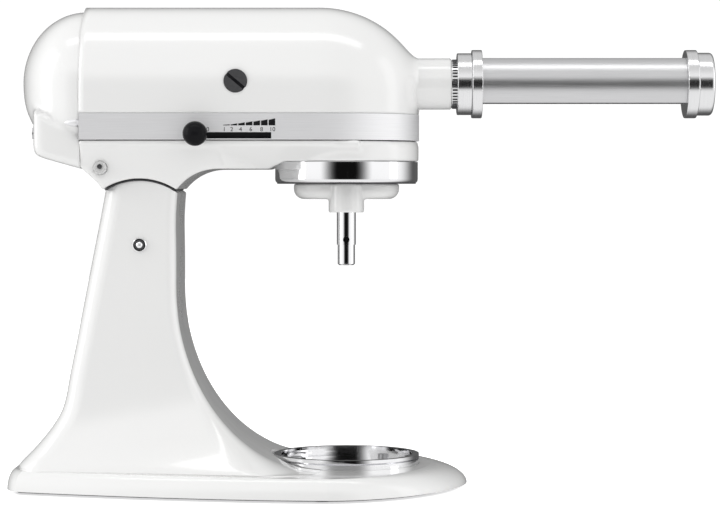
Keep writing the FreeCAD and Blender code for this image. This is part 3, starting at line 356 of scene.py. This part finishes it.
def rounded(points, radius, steps=6):
    """A closed outline whose corners p become curves (1-t)^2 start + 2t(1-t) p + t^2 end."""
    p = np.asarray(points, float)
    before, after = np.roll(p, 1, 0) - p, np.roll(p, -1, 0) - p
    r = np.broadcast_to(np.asarray(radius, float), len(p))[:, None]
    start = p + before / np.linalg.norm(before, axis=1)[:, None] * r
    end = p + after / np.linalg.norm(after, axis=1)[:, None] * r
    t = np.linspace(0, 1, steps)[:, None, None]
    return np.swapaxes((1 - t) ** 2 * start + 2 * t * (1 - t) * p + t ** 2 * end, 0, 1).reshape(-1, 2)


def soft_max(a, b, k):
    """Larger of a and b, with the crossing rounded over about k: k log(e^(a/k) + e^(b/k))."""
    return k * np.logaddexp(a / k, b / k)


def wall(piece, thickness_mm):
    """Give an open surface a wall on its inner side."""
    solid = piece.modifiers.new("wall", "SOLIDIFY")
    solid.thickness, solid.offset = thickness_mm * MM, -1.0
    return piece


# %% [markdown]
# ## Upper housing
# The shell is described from the hub's axis: for each station along the head and each direction
# round the axis, how far out is the skin? The head is a barrel with an elliptical nose, the hub a
# cylinder. A soft maximum of the two distances melts the hub into the nose as the casting does.

# %% Upper housing
HUB_Z = hub_axis.z / MM
SHELL_WALL, COVER_WALL = 3.2, 2.6
HEAD_HALF, HEAD_TOP, CROWN_Z, BAND_TOP, BAND_BOTTOM = 60.0, 355.0, 292.0, 275.4, 256.3
NOSE_X, NOSE_LENGTH, HEAD_REAR, HUB_R, HUB_FRONT = -20.0, 73.5, -192.0, 18.8, 77.5
SKIRT_Z = BAND_TOP + 0.2
HUB_FROM, HUB_CHAMFER, MELT_LOW, MELT_MORE = 20, 0.5, 0.4, 5.6


def nose_share(x):
    """Half-width of the head as a share of the full one: 1 behind the nose, then an ellipse."""
    t = np.clip((x - NOSE_X) / NOSE_LENGTH, 0, 1)
    return np.sqrt(1 - t ** 2)


def head_reach(x, angle):
    """Distance from the hub's axis to the head's skin: the side wall, or the half-ellipse above it."""
    f = np.maximum(nose_share(x), 1e-4)
    c, s = np.cos(angle), np.sin(angle)
    half, crown, drop = HEAD_HALF * f, (HEAD_TOP - CROWN_Z) * f, HUB_Z - CROWN_Z
    qa = (c / half) ** 2 + (s / crown) ** 2
    qb = 2 * drop * s / crown ** 2
    qc = (drop / crown) ** 2 - 1
    root = qb ** 2 - 4 * qa * qc
    arch = np.where(root > 0, (-qb + np.sqrt(np.maximum(root, 0))) / (2 * qa), 0)
    side = np.minimum(half / np.maximum(np.abs(c), 1e-6), (HUB_Z - SKIRT_Z) / np.maximum(-s, 1e-6))
    low = HUB_Z + arch * s < CROWN_Z
    return np.where(low, np.where(s < 0, side, 0), np.maximum(arch, 0))


along_nose = NOSE_X + NOSE_LENGTH * np.sin(np.linspace(0.03, 1, 60) * np.pi / 2)
along_hub = np.linspace(54.2, HUB_FRONT - 0.8, 26)
x = np.concatenate([np.linspace(HEAD_REAR, NOSE_X, 40), along_nose, along_hub,
                    [HUB_FRONT - 0.3, HUB_FRONT]])[:, None]
low_angle = np.arctan2(SKIRT_Z - HUB_Z, HEAD_HALF * nose_share(x) + 1e-6)
share = np.linspace(0, 1, 145)[None, :]
angle = low_angle + (np.pi - 2 * low_angle) * share
reach = np.where(x <= NOSE_X + NOSE_LENGTH, head_reach(x, angle), 0.0)
lift = np.clip((np.sin(angle) + 0.45) / 0.8, 0, 1)
melt = MELT_LOW + MELT_MORE * lift ** 2 * (3 - 2 * lift)
reach = soft_max(reach, np.where(x > HUB_FROM, HUB_R, 0.0), melt)
reach = reach - np.where(x > HUB_FRONT - HUB_CHAMFER, HUB_CHAMFER, 0.0)
across, height = reach * np.cos(angle), HUB_Z + reach * np.sin(angle)
points = np.stack([np.broadcast_to(x, reach.shape), across, height], -1)
upper = build("upper_shell", points, grid_faces(*reach.shape), "head", "white_enamel", ["upper_housing"])
wall(upper, SHELL_WALL)

# %% [markdown]
# The band hides a plain strip of the casting. It is its own piece here, black as painted shade, so
# that the speed slot in the band shows dark: the head's outline in plan, a little inside the band,
# carried from the band's lower edge to its upper one.

# %% Strip of painted shade behind the band
t = np.linspace(0, 1, 40)
plan = np.concatenate([np.stack([np.linspace(HEAD_REAR, NOSE_X, 12), np.full(12, -1.0)], -1),
                       np.stack([NOSE_X + NOSE_LENGTH * np.sin(t * np.pi / 2),
                                 -np.cos(t * np.pi / 2)], -1)[1:]])
plan = np.concatenate([plan, plan[-2::-1] * [1, -1]])
OUTER, INNER = (HEAD_HALF - 1.6) / HEAD_HALF, (HEAD_HALF - 4.0) / HEAD_HALF
LOWER, HIGHER = BAND_BOTTOM + 0.3, SKIRT_Z + 1
inset = np.array([OUTER, OUTER, INNER, INNER, OUTER])[:, None]
heights = np.array([LOWER, HIGHER, HIGHER, LOWER, LOWER])[:, None]
plan_x, plan_y = plan[None, :, 0], plan[None, :, 1]
strip = np.stack([NOSE_X + (plan_x - NOSE_X) * np.where(plan_x > NOSE_X, inset, 1.0),
                  plan_y * HEAD_HALF * inset,
                  np.broadcast_to(heights, (5, len(plan)))], -1)
# Black here is painted shade, seen through the speed slot.
build("band_slot_shade", strip, grid_faces(5, len(plan)), "head", "black_plastic")

# %% [markdown]
# ## Rear cover
# The motor cover is a dome that swells out of a lower box whose top slopes up to the rear. Both
# are easy to write as a gap: how far a point is outside. The smaller of the two gaps is the
# joined shape, and a soft minimum melts one into the other. A ray goes out from the seam in each
# direction, and halving its length again and again finds where the gap is nought.

# %% Rear cover
COVER_AT, HALVINGS, FAR_OUT = np.array([HEAD_REAR, 0.0, 266.0]), 30, 150.0
DOME_DEEP, DOME_HALF, DOME_HIGH = 47.0, 58.8, 53.0
BOX_HALF, BOX_DEEP, BOX_LOW, BOX_TOP = 56.0, 34.5, 235.5, 257.5
BOTTOM_SLOPE, TOP_SLOPE = 0.2755, 0.66
SIDE_ROUND, BOTTOM_ROUND, TOP_ROUND, JOIN_ROUND, SQUARED_OVER = 3.5, 2.5, 2.0, 1.2, 20


def cover_gap(p):
    """Smaller gap of a dome, depth^2 + (|y|^n + |z|^n)^(2/n) = 1, n from 2 to 4 downwards, and a box."""
    depth, side, high = HEAD_REAR - p[..., 0], np.abs(p[..., 1]), p[..., 2] - HUB_Z
    n = 2 + 2 * np.clip(-high / SQUARED_OVER, 0, 1)
    ring = ((side / DOME_HALF) ** n + (np.abs(high) / DOME_HIGH) ** n) ** (2 / n)
    dome_gap = (np.sqrt((depth / DOME_DEEP) ** 2 + ring) - 1) * DOME_DEEP
    z = p[..., 2]
    box_gap = soft_max(side - BOX_HALF, depth - BOX_DEEP, SIDE_ROUND)
    box_gap = soft_max(box_gap, BOX_LOW + BOTTOM_SLOPE * depth - z, BOTTOM_ROUND)
    box_gap = soft_max(box_gap, z - BOX_TOP - TOP_SLOPE * depth, TOP_ROUND)
    return -soft_max(-dome_gap, -box_gap, JOIN_ROUND)


turn, dip = np.meshgrid(np.linspace(0, 2 * np.pi, 160, endpoint=False), np.linspace(0, np.pi / 2, 70))
d = np.stack([-np.sin(dip), np.cos(dip) * np.cos(turn), np.cos(dip) * np.sin(turn)], -1)
near, far = np.zeros(turn.shape), np.full(turn.shape, FAR_OUT)
for halving in range(HALVINGS):
    half_way = (near + far) / 2
    inside = cover_gap(COVER_AT + d * half_way[..., None]) < 0
    near, far = np.where(inside, half_way, near), np.where(inside, far, half_way)
near[-1] = near[-1].mean()
points = COVER_AT + d * near[..., None]
cover = build("motor_cover", points, grid_faces(*near.shape, wrap=True), "head", "white_enamel",
              ["rear_cover"])
wall(cover, COVER_WALL)

# %% [markdown]
# The cord leaves through a grommet low on the cover's rear face. Moulded rubber grommets sit nearly
# flush, so this one is a shallow turned disc with a rounded rim and a small central dimple.

# %% Cord grommet
GROMMET_FACE, GROMMET_Z = HEAD_REAR - BOX_DEEP, 251.3
grommet = [(POLE, GROMMET_FACE - 0.6), (1.8, GROMMET_FACE - 0.8), (2.6, GROMMET_FACE - 1.9),
           (4.6, GROMMET_FACE - 1.9), (5.4, GROMMET_FACE - 1.2), (5.6, GROMMET_FACE + 1.5),
           (POLE, GROMMET_FACE + 1.5)]
spun("cord_grommet", grommet, (0, 0, GROMMET_Z), "x", 48, "head", "rubber", ["cord_gland"])

# %% [markdown]
# ## Castings with soft edges
# A cast and enamelled part has no sharp edge: the mould leaves a small radius and the enamel
# rounds it further. A copy of the exact solid is merged, cut into small even cells and relaxed,
# which rounds every edge by about the cell's size.


# %% Soften the castings
def softened(name, node, body, cell_mm, passes, slot):
    """A copy of a CAD node in even cells; each pass moves points half way to their neighbours' middle."""
    source = frame["nodes"][node]
    mesh = source.data.copy()
    mesh.materials.clear()
    piece = bpy.data.objects.new(name, mesh)
    bpy.context.scene.collection.objects.link(piece)
    weld = piece.modifiers.new("weld", "WELD")
    weld.merge_threshold = 0.00001
    cells = piece.modifiers.new("cells", "REMESH")
    cells.mode, cells.voxel_size = "VOXEL", cell_mm * MM
    relax = piece.modifiers.new("relax", "SMOOTH")
    relax.factor, relax.iterations = 0.5, passes
    depsgraph = bpy.context.evaluated_depsgraph_get()
    done = bpy.data.meshes.new_from_object(piece.evaluated_get(depsgraph))
    piece.modifiers.clear()
    piece.data = done
    done.materials.clear()
    done.materials.append(finish_of[slot])
    done.shade_smooth()
    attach(piece, body)
    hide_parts(node)
    print("%s: %d faces" % (name, len(done.polygons)))
    return piece


CAST_CELL, HUB_CELL, TURNED_CELL = 1.15, 0.7, 0.45
softened("lower_casting", "lower_housing", "head", CAST_CELL, 9, "white_enamel")
softened("planetary_casting", "planetary_hub", "planetary", HUB_CELL, 8, "white_enamel")
softened("case_cover", "cutter_gear_case", "cutter", TURNED_CELL, 5, "polished_steel")
softened("inner_flange", "cutter_inner_plate", "cutter", TURNED_CELL, 5, "polished_steel")
softened("outer_flange", "cutter_outer_plate", "cutter", TURNED_CELL, 5, "polished_steel")
softened("outer_cap", "cutter_end_cap", "cutter", TURNED_CELL, 6, "polished_steel")

# %% [markdown]
# ## Drip ring and hinge pin
# Both are turned parts: a profile carried once round an axis. The ring's lower edge rolls
# inwards, so it shows a thin bright line above a dark ring of painted shade under it. The pin has a
# domed end inside a flat dark ring of painted shade, where its recess lies in shade.

# %% Turned chrome, and dark rings of painted shade
RING_LOW, RING_TOP, RING_R = 225.1, 240.8, 53.0
ring = rounded([(RING_R, RING_TOP), (RING_R - 1.6, RING_TOP), (RING_R - 1.6, RING_LOW + 2.0),
                (RING_R - 7.0, RING_LOW + 1.4), (RING_R - 7.0, RING_LOW), (RING_R, RING_LOW)],
               [0.3, 0.3, 1.2, 0.3, 0.3, 3.2])
ring = np.concatenate([ring, ring[:1]])
spun("drip_collar", ring, (0, 0, 0), "z", 96, "head", "chrome", ["drip_ring"])

HINGE_X, HINGE_Z = middle("hinge_pin").x / MM - SHIFT, middle("hinge_pin").z / MM
PIN_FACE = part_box("hinge_pin")[0].y / MM
pin_line = [(POLE, PIN_FACE - 1.6), (1.0, PIN_FACE - 1.45), (1.9, PIN_FACE - 1.0),
            (2.5, PIN_FACE - 0.3), (2.7, PIN_FACE + 0.9), (POLE, PIN_FACE + 0.9)]
spun("pin_head", pin_line, (HINGE_X, 0, HINGE_Z), "y", 48, "pedestal", "chrome")
# A flat dark ring round the pin's head: painted shade of the recess the pin sits in.
pin_shade_ring = [(2.6, PIN_FACE - 0.10), (3.7, PIN_FACE - 0.06), (3.7, PIN_FACE + 0.5),
          (2.6, PIN_FACE + 0.5), (2.6, PIN_FACE - 0.10)]
spun("pin_recess_shade", pin_shade_ring, (HINGE_X, 0, HINGE_Z), "y", 48, "pedestal", "dark_plastic")

# A dark ring under the drip ring's rolled lower edge: painted shade.
ring_shade_line = [(RING_R - 1.2, RING_LOW + 0.9), (RING_R - 1.6, RING_LOW - 0.5), (RING_R - 6.0, RING_LOW - 0.5),
       (RING_R - 6.0, RING_LOW + 0.5), (RING_R - 1.2, RING_LOW + 0.9)]
spun("drip_ring_shade", ring_shade_line, (0, 0, 0), "z", 96, "head", "dark_plastic")

# %% [markdown]
# ## Brush caps and screw recesses
# Each brush cap has a slot for a coin, and its bottom is dark moulded resin. Below it, each screw
# that joins the housings sits at the bottom of an enamelled dish in the casting. The profiles
# count depth from the face they sink into, and the screw sits a little off the dish's middle.

# %% Slot floors, dishes and screws
SIDES = ((-1, "near"), (1, "far"))
CAP_R, CAP_FACE, DISH_MOUTH, SCREW_LIFT = 8.2, corners("brush_caps")[1][1] / MM, 58.9, 1.1
cap_at, screw_at = middle("brush_caps"), middle("housing_screws")
floor_line = [(POLE, -0.28), (CAP_R, -0.28), (CAP_R, -1.4), (POLE, -1.4)]
dish_line = [(4.6, 0.0), (4.15, -1.0), (3.4, -2.4), (2.2, -3.5), (POLE, -3.9),
             (POLE, -4.5), (4.6, -4.5), (4.6, 0.0)]
stud_line = [(POLE, -2.3), (1.3, -2.4), (1.7, -2.9), (1.7, -4.0), (POLE, -4.0)]
sunk = (("cap_slot_floor", floor_line, cap_at, CAP_FACE, "black_plastic", 0.0),
        ("screw_dish", dish_line, screw_at, DISH_MOUTH, "white_enamel", 0.0),
        ("screw_stud", stud_line, screw_at, DISH_MOUTH, "dark_plastic", SCREW_LIFT))
for side, tag in SIDES:
    for label, line, at, face, slot, lift in sunk:
        profile = [(r, side * (face + depth)) for r, depth in line]
        axis_at = (at.x / MM - SHIFT - lift / 2, 0, at.z / MM + lift)
        spun("%s_%s" % (label, tag), profile, axis_at, "y", 64, "head", slot)

# %% [markdown]
# A small tapered nut draws each end of the band round on to the rear cover. The brush caps
# themselves are a softer black than the knob, so they get their own resin.

# %% Band nuts and cap resin
NUT_SIDE, NUT_Z = 56.3, 268.4
nut_line = [(POLE, HEAD_REAR - 10.5), (1.0, HEAD_REAR - 10.1), (2.1, HEAD_REAR - 7.0),
            (2.8, HEAD_REAR - 3.0), (3.0, HEAD_REAR - 0.2), (POLE, HEAD_REAR - 0.2)]
for side, tag in SIDES:
    spun("band_nut_" + tag, nut_line, (0, side * NUT_SIDE, NUT_Z), "x", 40, "head", "satin_aluminium")
cap_resin = moulded("cap resin", (0.045, 0.045, 0.047), 0.30, 500.0, 0.00004, 0.4)
for place in frame["nodes"]["brush_caps"].material_slots:
    place.material = cap_resin

# %% [markdown]
# ## Coupling ring
# A dark knurled ring fills the gap between the hub and the cutter's gear case. Its radius follows
# a clipped cosine round the axis, so every ridge and every groove is flat.

# %% Knurled ring
COUPLING_X0, COUPLING_X1 = HUB_FRONT + 0.7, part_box("cutter_gear_case")[0].x / MM - SHIFT - 0.05
KNURLS, STEPS_PER_KNURL, KNURL_R, KNURL_DEPTH, PLAIN_R, CHAMFER = 44, 6, 17.95, 0.35, 17.0, 0.4
around = np.linspace(0, 2 * np.pi, KNURLS * STEPS_PER_KNURL, endpoint=False)
knurl = KNURL_R + KNURL_DEPTH * np.clip(np.cos(KNURLS * around) * 2, -1, 1)
stations = np.array([COUPLING_X0, COUPLING_X0, COUPLING_X0 + CHAMFER,
                     COUPLING_X1 - CHAMFER, COUPLING_X1, COUPLING_X1])
raised = np.array([0.0, 0.6, 1.0, 1.0, 0.6, 0.0])
r = PLAIN_R + (knurl[None, :] - PLAIN_R) * raised[:, None]
points = np.stack([np.broadcast_to(stations[:, None], r.shape),
                   r * np.cos(around), HUB_Z + r * np.sin(around)], -1)
build("hub_coupling", points, grid_faces(*r.shape, wrap=True), "cutter", "dark_plastic")

# %% [markdown]
# ## Two lines of painted shade
# A dark strip of painted shade lies in the gap between the column and the head, an arc about the
# hinge. Its section is a flat rectangle, and the first and last one shrink to a point to close the ends.

# %% Strip of painted shade in the neck gap
GAP_SHADE_R, GAP_SHADE_HALF_THICK, GAP_SHADE_HALF_WIDE = 46.85, 0.45, 49.6
GAP_SHADE_FROM, GAP_SHADE_TO = 58, 122      # degrees from straight ahead, about the hinge
swing = np.linspace(GAP_SHADE_FROM, GAP_SHADE_TO, 60)
swing = np.radians(np.concatenate([[GAP_SHADE_FROM], swing, [GAP_SHADE_TO]]))[:, None]
open_up = np.ones(swing.shape)
open_up[[0, -1]] = 0.0
strip_r = GAP_SHADE_R + GAP_SHADE_HALF_THICK * np.array([-1, 1, 1, -1, -1]) * open_up
strip_y = GAP_SHADE_HALF_WIDE * np.array([-1, -1, 1, 1, -1]) * open_up
points = np.stack([HINGE_X + np.cos(swing) * strip_r, strip_y, HINGE_Z + np.sin(swing) * strip_r], -1)
build("neck_gap_shade", points, grid_faces(*strip_r.shape), "pedestal", "dark_plastic")

# %% [markdown]
# Under the foot a dark plate, set in a little from its edge, is painted shadow: the dark line
# where the foot meets the floor. For each bearing b, the outline's support is the largest p . b over
# its points. Less the inset, it gives a line that the plate's edge touches, and neighbouring lines
# cross in the plate's corners.

# %% Painted shadow plate under the foot
FOOT_EDGE_INSET, PLATE_LOW, PLATE_HIGH, SKIRT_LEVEL, BEARINGS = 5.0, 1.3, 2.6, 0.0045, 180
casting = frame["nodes"]["pedestal_casting"].data
corner = np.zeros(len(casting.vertices) * 3)
casting.vertices.foreach_get("co", corner)
corner = corner.reshape(-1, 3)
corner = corner[corner[:, 2] < SKIRT_LEVEL] / MM - [SHIFT, 0, 0]
plate_middle = np.array([corner[:, 0].min() + corner[:, 0].max(), 0.0]) / 2
bearing = np.linspace(-np.pi, np.pi, BEARINGS + 1)[:-1]
facing = np.stack([np.cos(bearing), np.sin(bearing)], -1)
support = (facing @ (corner[:, :2] - plate_middle).T).max(1) - FOOT_EDGE_INSET
ahead_facing, ahead_support = np.roll(facing, -1, 0), np.roll(support, -1)
turn_area = facing[:, 0] * ahead_facing[:, 1] - facing[:, 1] * ahead_facing[:, 0]
rim = np.stack([support * ahead_facing[:, 1] - ahead_support * facing[:, 1],
                ahead_support * facing[:, 0] - support * ahead_facing[:, 0]], -1) / turn_area[:, None]
levels = [(0.002, PLATE_HIGH), (1.0, PLATE_HIGH), (1.0, PLATE_LOW), (0.002, PLATE_LOW)]
points = np.stack([np.concatenate([plate_middle + rim * share, np.full((BEARINGS, 1), z)], -1)
                   for share, z in levels])
build("foot_shadow_plate", points, grid_faces(4, BEARINGS, wrap=True), "pedestal", "dark_plastic")

# %% [markdown]
# ## Speed scale
# The scale is printed on the band in black: numbers, and a wedge cut into bars that grow with
# the speed. Each bar is a thin slab that stands a few hundredths of a millimetre proud. Marks are
# laid out in the middle plane of the machine, then drawn in towards the point straight in front
# of the eye, because the band is nearer to the eye than the middle plane is.

# %% Print the wedge
AHEAD_X, AHEAD_Z, DRAWN_IN = 8.9, 223.0, 0.9667
BARS, BAR_LOW, BAR_GAP, PROUD, SUNK = 7, 268.0, 0.35, 0.04, 0.2
band_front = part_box("trim_band")[0].y / MM
ink = moulded("scale ink", (0.004, 0.004, 0.005), 0.35, 900.0, 0.00001, 0.1)


def seen(x_mm, z_mm):
    """Place on the band of a mark at x, z in the middle plane: ahead + (mark - ahead) * drawn in."""
    return AHEAD_X + (x_mm - AHEAD_X) * DRAWN_IN, AHEAD_Z + (z_mm - AHEAD_Z) * DRAWN_IN


edges = np.linspace(-92.0, -52.5, BARS + 1)
slabs, slab_faces = [], []
cell = np.array([[0, 1, 2, 3], [7, 6, 5, 4], [0, 4, 5, 1], [1, 5, 6, 2], [2, 6, 7, 3], [3, 7, 4, 0]])
for k in range(BARS):
    left, low = seen(edges[k] + BAR_GAP, BAR_LOW)
    right, right_top = seen(edges[k + 1] - BAR_GAP, BAR_LOW + 0.8 + 4.4 * k / (BARS - 1))
    left_top = seen(0, BAR_LOW + 0.4 + 4.2 * max(k - 0.6, 0) / (BARS - 1))[1]
    face = [(left, low), (right, low), (right, right_top), (left, left_top)]
    slabs += [(px, band_front + y, pz) for y in (-PROUD, SUNK) for px, pz in face]
    slab_faces.append(cell + 8 * k)
build("speed_wedge", slabs, np.concatenate(slab_faces), "head", "black_plastic", material=ink)

# %% [markdown]
# The numbers are text turned into a mesh. A letter's own x runs along the band and its y goes
# up, so its points (x, y, z) are placed at (x, -z, y) on the band's near side.

# %% Print the numbers
FIGURE_HIGH, FIGURES_Z, CLEAR_OF_BAND = 4.3, 265.0, 0.00002
figures_at = {"0": -103, "1": -90.7, "2": -85.2, "4": -78.6, "6": -71, "8": -63, "10": -55}
for word, at in figures_at.items():
    letters = bpy.data.curves.new("figure", "FONT")
    letters.body, letters.size, letters.extrude = word, FIGURE_HIGH * MM, PROUD * MM
    letters.align_x, letters.align_y = "CENTER", "CENTER"
    text = bpy.data.objects.new("figure", letters)
    bpy.context.scene.collection.objects.link(text)
    bpy.context.view_layer.update()
    flat = bpy.data.meshes.new_from_object(text.evaluated_get(bpy.context.evaluated_depsgraph_get()))
    bpy.data.objects.remove(text)
    co = np.zeros(len(flat.vertices) * 3)
    flat.vertices.foreach_get("co", co)
    co = co.reshape(-1, 3)
    cx, cz = seen(at, FIGURES_Z)
    placed = np.stack([co[:, 0] + (cx + SHIFT) * MM, band_front * MM - co[:, 2] - CLEAR_OF_BAND,
                       co[:, 1] + cz * MM], -1)
    flat.vertices.foreach_set("co", placed.ravel())
    flat.materials.clear()
    flat.materials.append(ink)
    figure = bpy.data.objects.new("speed_figure_" + word, flat)
    bpy.context.scene.collection.objects.link(figure)
    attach(figure, "head")
    print("figure %s: %d points" % (word, len(flat.vertices)))

# %% [markdown]
# ## Stage
# The machine stands in a plain white studio. The floor and the walls glow by themselves and are
# hidden from mirrors and from the light that the machine gathers: what it mirrors is the sky.

# %% Floor and backdrop
FLOOR_EDGE, FLOOR_Z, WALLS_FROM, DOME_HEIGHT = 4.0, -0.0003, -0.1, 4.0


def part_of_set(name, vertices, faces, colour, glow):
    """A piece of the set in one plain colour, seen only straight from the camera."""
    mesh = bpy.data.meshes.new(name)
    mesh.from_pydata(vertices, [], faces)
    made = bpy.data.objects.new(name, mesh)
    bpy.context.scene.collection.objects.link(made)
    paint = Finish(name, Roughness=1.0, Base_Color=(*colour, 1.0), Emission_Color=(1.0, 1.0, 1.0, 1.0),
                   Emission_Strength=glow, Specular_IOR_Level=0.0)
    mesh.materials.append(paint.material)
    made.visible_glossy = made.visible_diffuse = made.visible_shadow = False
    return made


def square(z):
    """The four corners of the set at one height."""
    return [(a * FLOOR_EDGE, b * FLOOR_EDGE, z) for a, b in ((-1, -1), (1, -1), (1, 1), (-1, 1))]


part_of_set("floor", square(FLOOR_Z), [(0, 1, 2, 3)], (0.9, 0.9, 0.9), 0.62)
part_of_set("backdrop", square(WALLS_FROM) + square(DOME_HEIGHT),
            [(0, 1, 5, 4), (1, 2, 6, 5), (2, 3, 7, 6), (3, 0, 4, 7), (4, 5, 6, 7)], (0, 0, 0), 1.05)
print("set %.0f m wide, %.0f m high" % (2 * FLOOR_EDGE, DOME_HEIGHT))

# %% [markdown]
# ## Sky
# What the chrome and the enamel mirror is the world behind the set: white, with a dark patch
# level with the machine behind the camera, dimmer to the rear and below, and even overhead. The
# brightness is a formula in the direction looked in, with the same shader maths.


# %% Sky
class Sky(Finish):
    """The same shader maths on the world: its place is the direction looked in."""

    def __init__(self, name):
        made = bpy.data.worlds.new(name)
        made.use_nodes = True
        self.tree = made.node_tree
        self.shader = self.tree.nodes["Background"]
        self.place = self.node("ShaderNodeTexCoord", {}, {}, "Generated")
        bpy.context.scene.world = made


SKY_FRONT, SKY_TOP = 1.14, 0.74
DARK_PATCH, DARK_REAR, DARK_BELOW = 0.995, 0.90, 0.12
sky = Sky("studio")
split = sky.node("ShaderNodeSeparateXYZ", {}, {0: sky.place}).socket.node
ahead = Val(sky, split.outputs[1])
up = Val(sky, split.outputs[2])
level_height = up.between(-0.45, -0.20) * (1.0 - up.between(0.20, 0.45))
toward_eye = (0.0 - ahead).between(0.72, 0.97) * level_height
turned_away = ahead.between(0.0, 0.75)
low_sky = 1.0 - up.between(-0.35, 0.05)
high_sky = up.between(0.35, 0.90)
level = SKY_FRONT * (1.0 - DARK_PATCH * toward_eye) * (1.0 - DARK_REAR * turned_away)
level = level * (1.0 - DARK_BELOW * low_sky)
level = level * (1.0 - high_sky) + SKY_TOP * high_sky
sky.set("Color", (1.0, 1.0, 1.0, 1.0))
sky.set("Strength", level)
bpy.context.scene.view_settings.view_transform = "Standard"
print("sky of", len(sky.tree.nodes), "nodes")

# %% [markdown]
# ## Lamps and camera
# Two softboxes at the sides draw the long highlights, one overhead lights the top, and two weak
# lamps, which no mirror shows, fill the shadows in front and behind. The camera is a long lens
# 1.8 m away, level with the drip ring and tipped down by less than two degrees.


# %% Lamps
def area(name, place, target, width, height, power):
    """Soft rectangular light at a place, facing a target."""
    lamp = bpy.data.lights.new(name, "AREA")
    lamp.shape, lamp.size, lamp.size_y, lamp.energy = "RECTANGLE", width, height, power
    made = bpy.data.objects.new(name, lamp)
    bpy.context.scene.collection.objects.link(made)
    made.location = place
    made.rotation_euler = (Vector(target) - Vector(place)).to_track_quat("-Z", "Y").to_euler()
    return made


AIM = (0, 0, 0.2)
area("left softbox", (-2.0, -0.35, 0.8), AIM, 0.8, 1.8, 10)
area("right softbox", (2.0, -0.30, 0.8), AIM, 0.6, 1.8, 2.5)
area("overhead softbox", (0.0, -0.45, 2.1), AIM, 2.4, 0.4, 7)
fills = (area("low front fill", (-0.1, -1.3, 0.06), (-0.1, 0, 0.12), 1.6, 0.4, 1.6),
         area("rear fill", (-0.1, 2.1, 0.7), AIM, 2.0, 1.2, 12))
for fill in fills:
    fill.visible_glossy = fill.visible_camera = False

# %% Camera
EYE_RIGHT, EYE_HEIGHT, EYE_DISTANCE, FOCAL_MM, FILM_MM = 0.01004, 0.223, 1.80, 121.05, 36.0
HORIZON_DROP = math.radians(1.7507)
lens = bpy.data.cameras.new("camera")
lens.lens, lens.sensor_width = FOCAL_MM, FILM_MM
camera = bpy.data.objects.new("camera", lens)
bpy.context.scene.collection.objects.link(camera)
camera.location = (beater_axis.x + EYE_RIGHT, -EYE_DISTANCE, EYE_HEIGHT)
camera.rotation_euler = (math.pi / 2 - HORIZON_DROP, 0, 0)
bpy.context.scene.camera = camera
print("camera at", [round(v, 4) for v in camera.location])
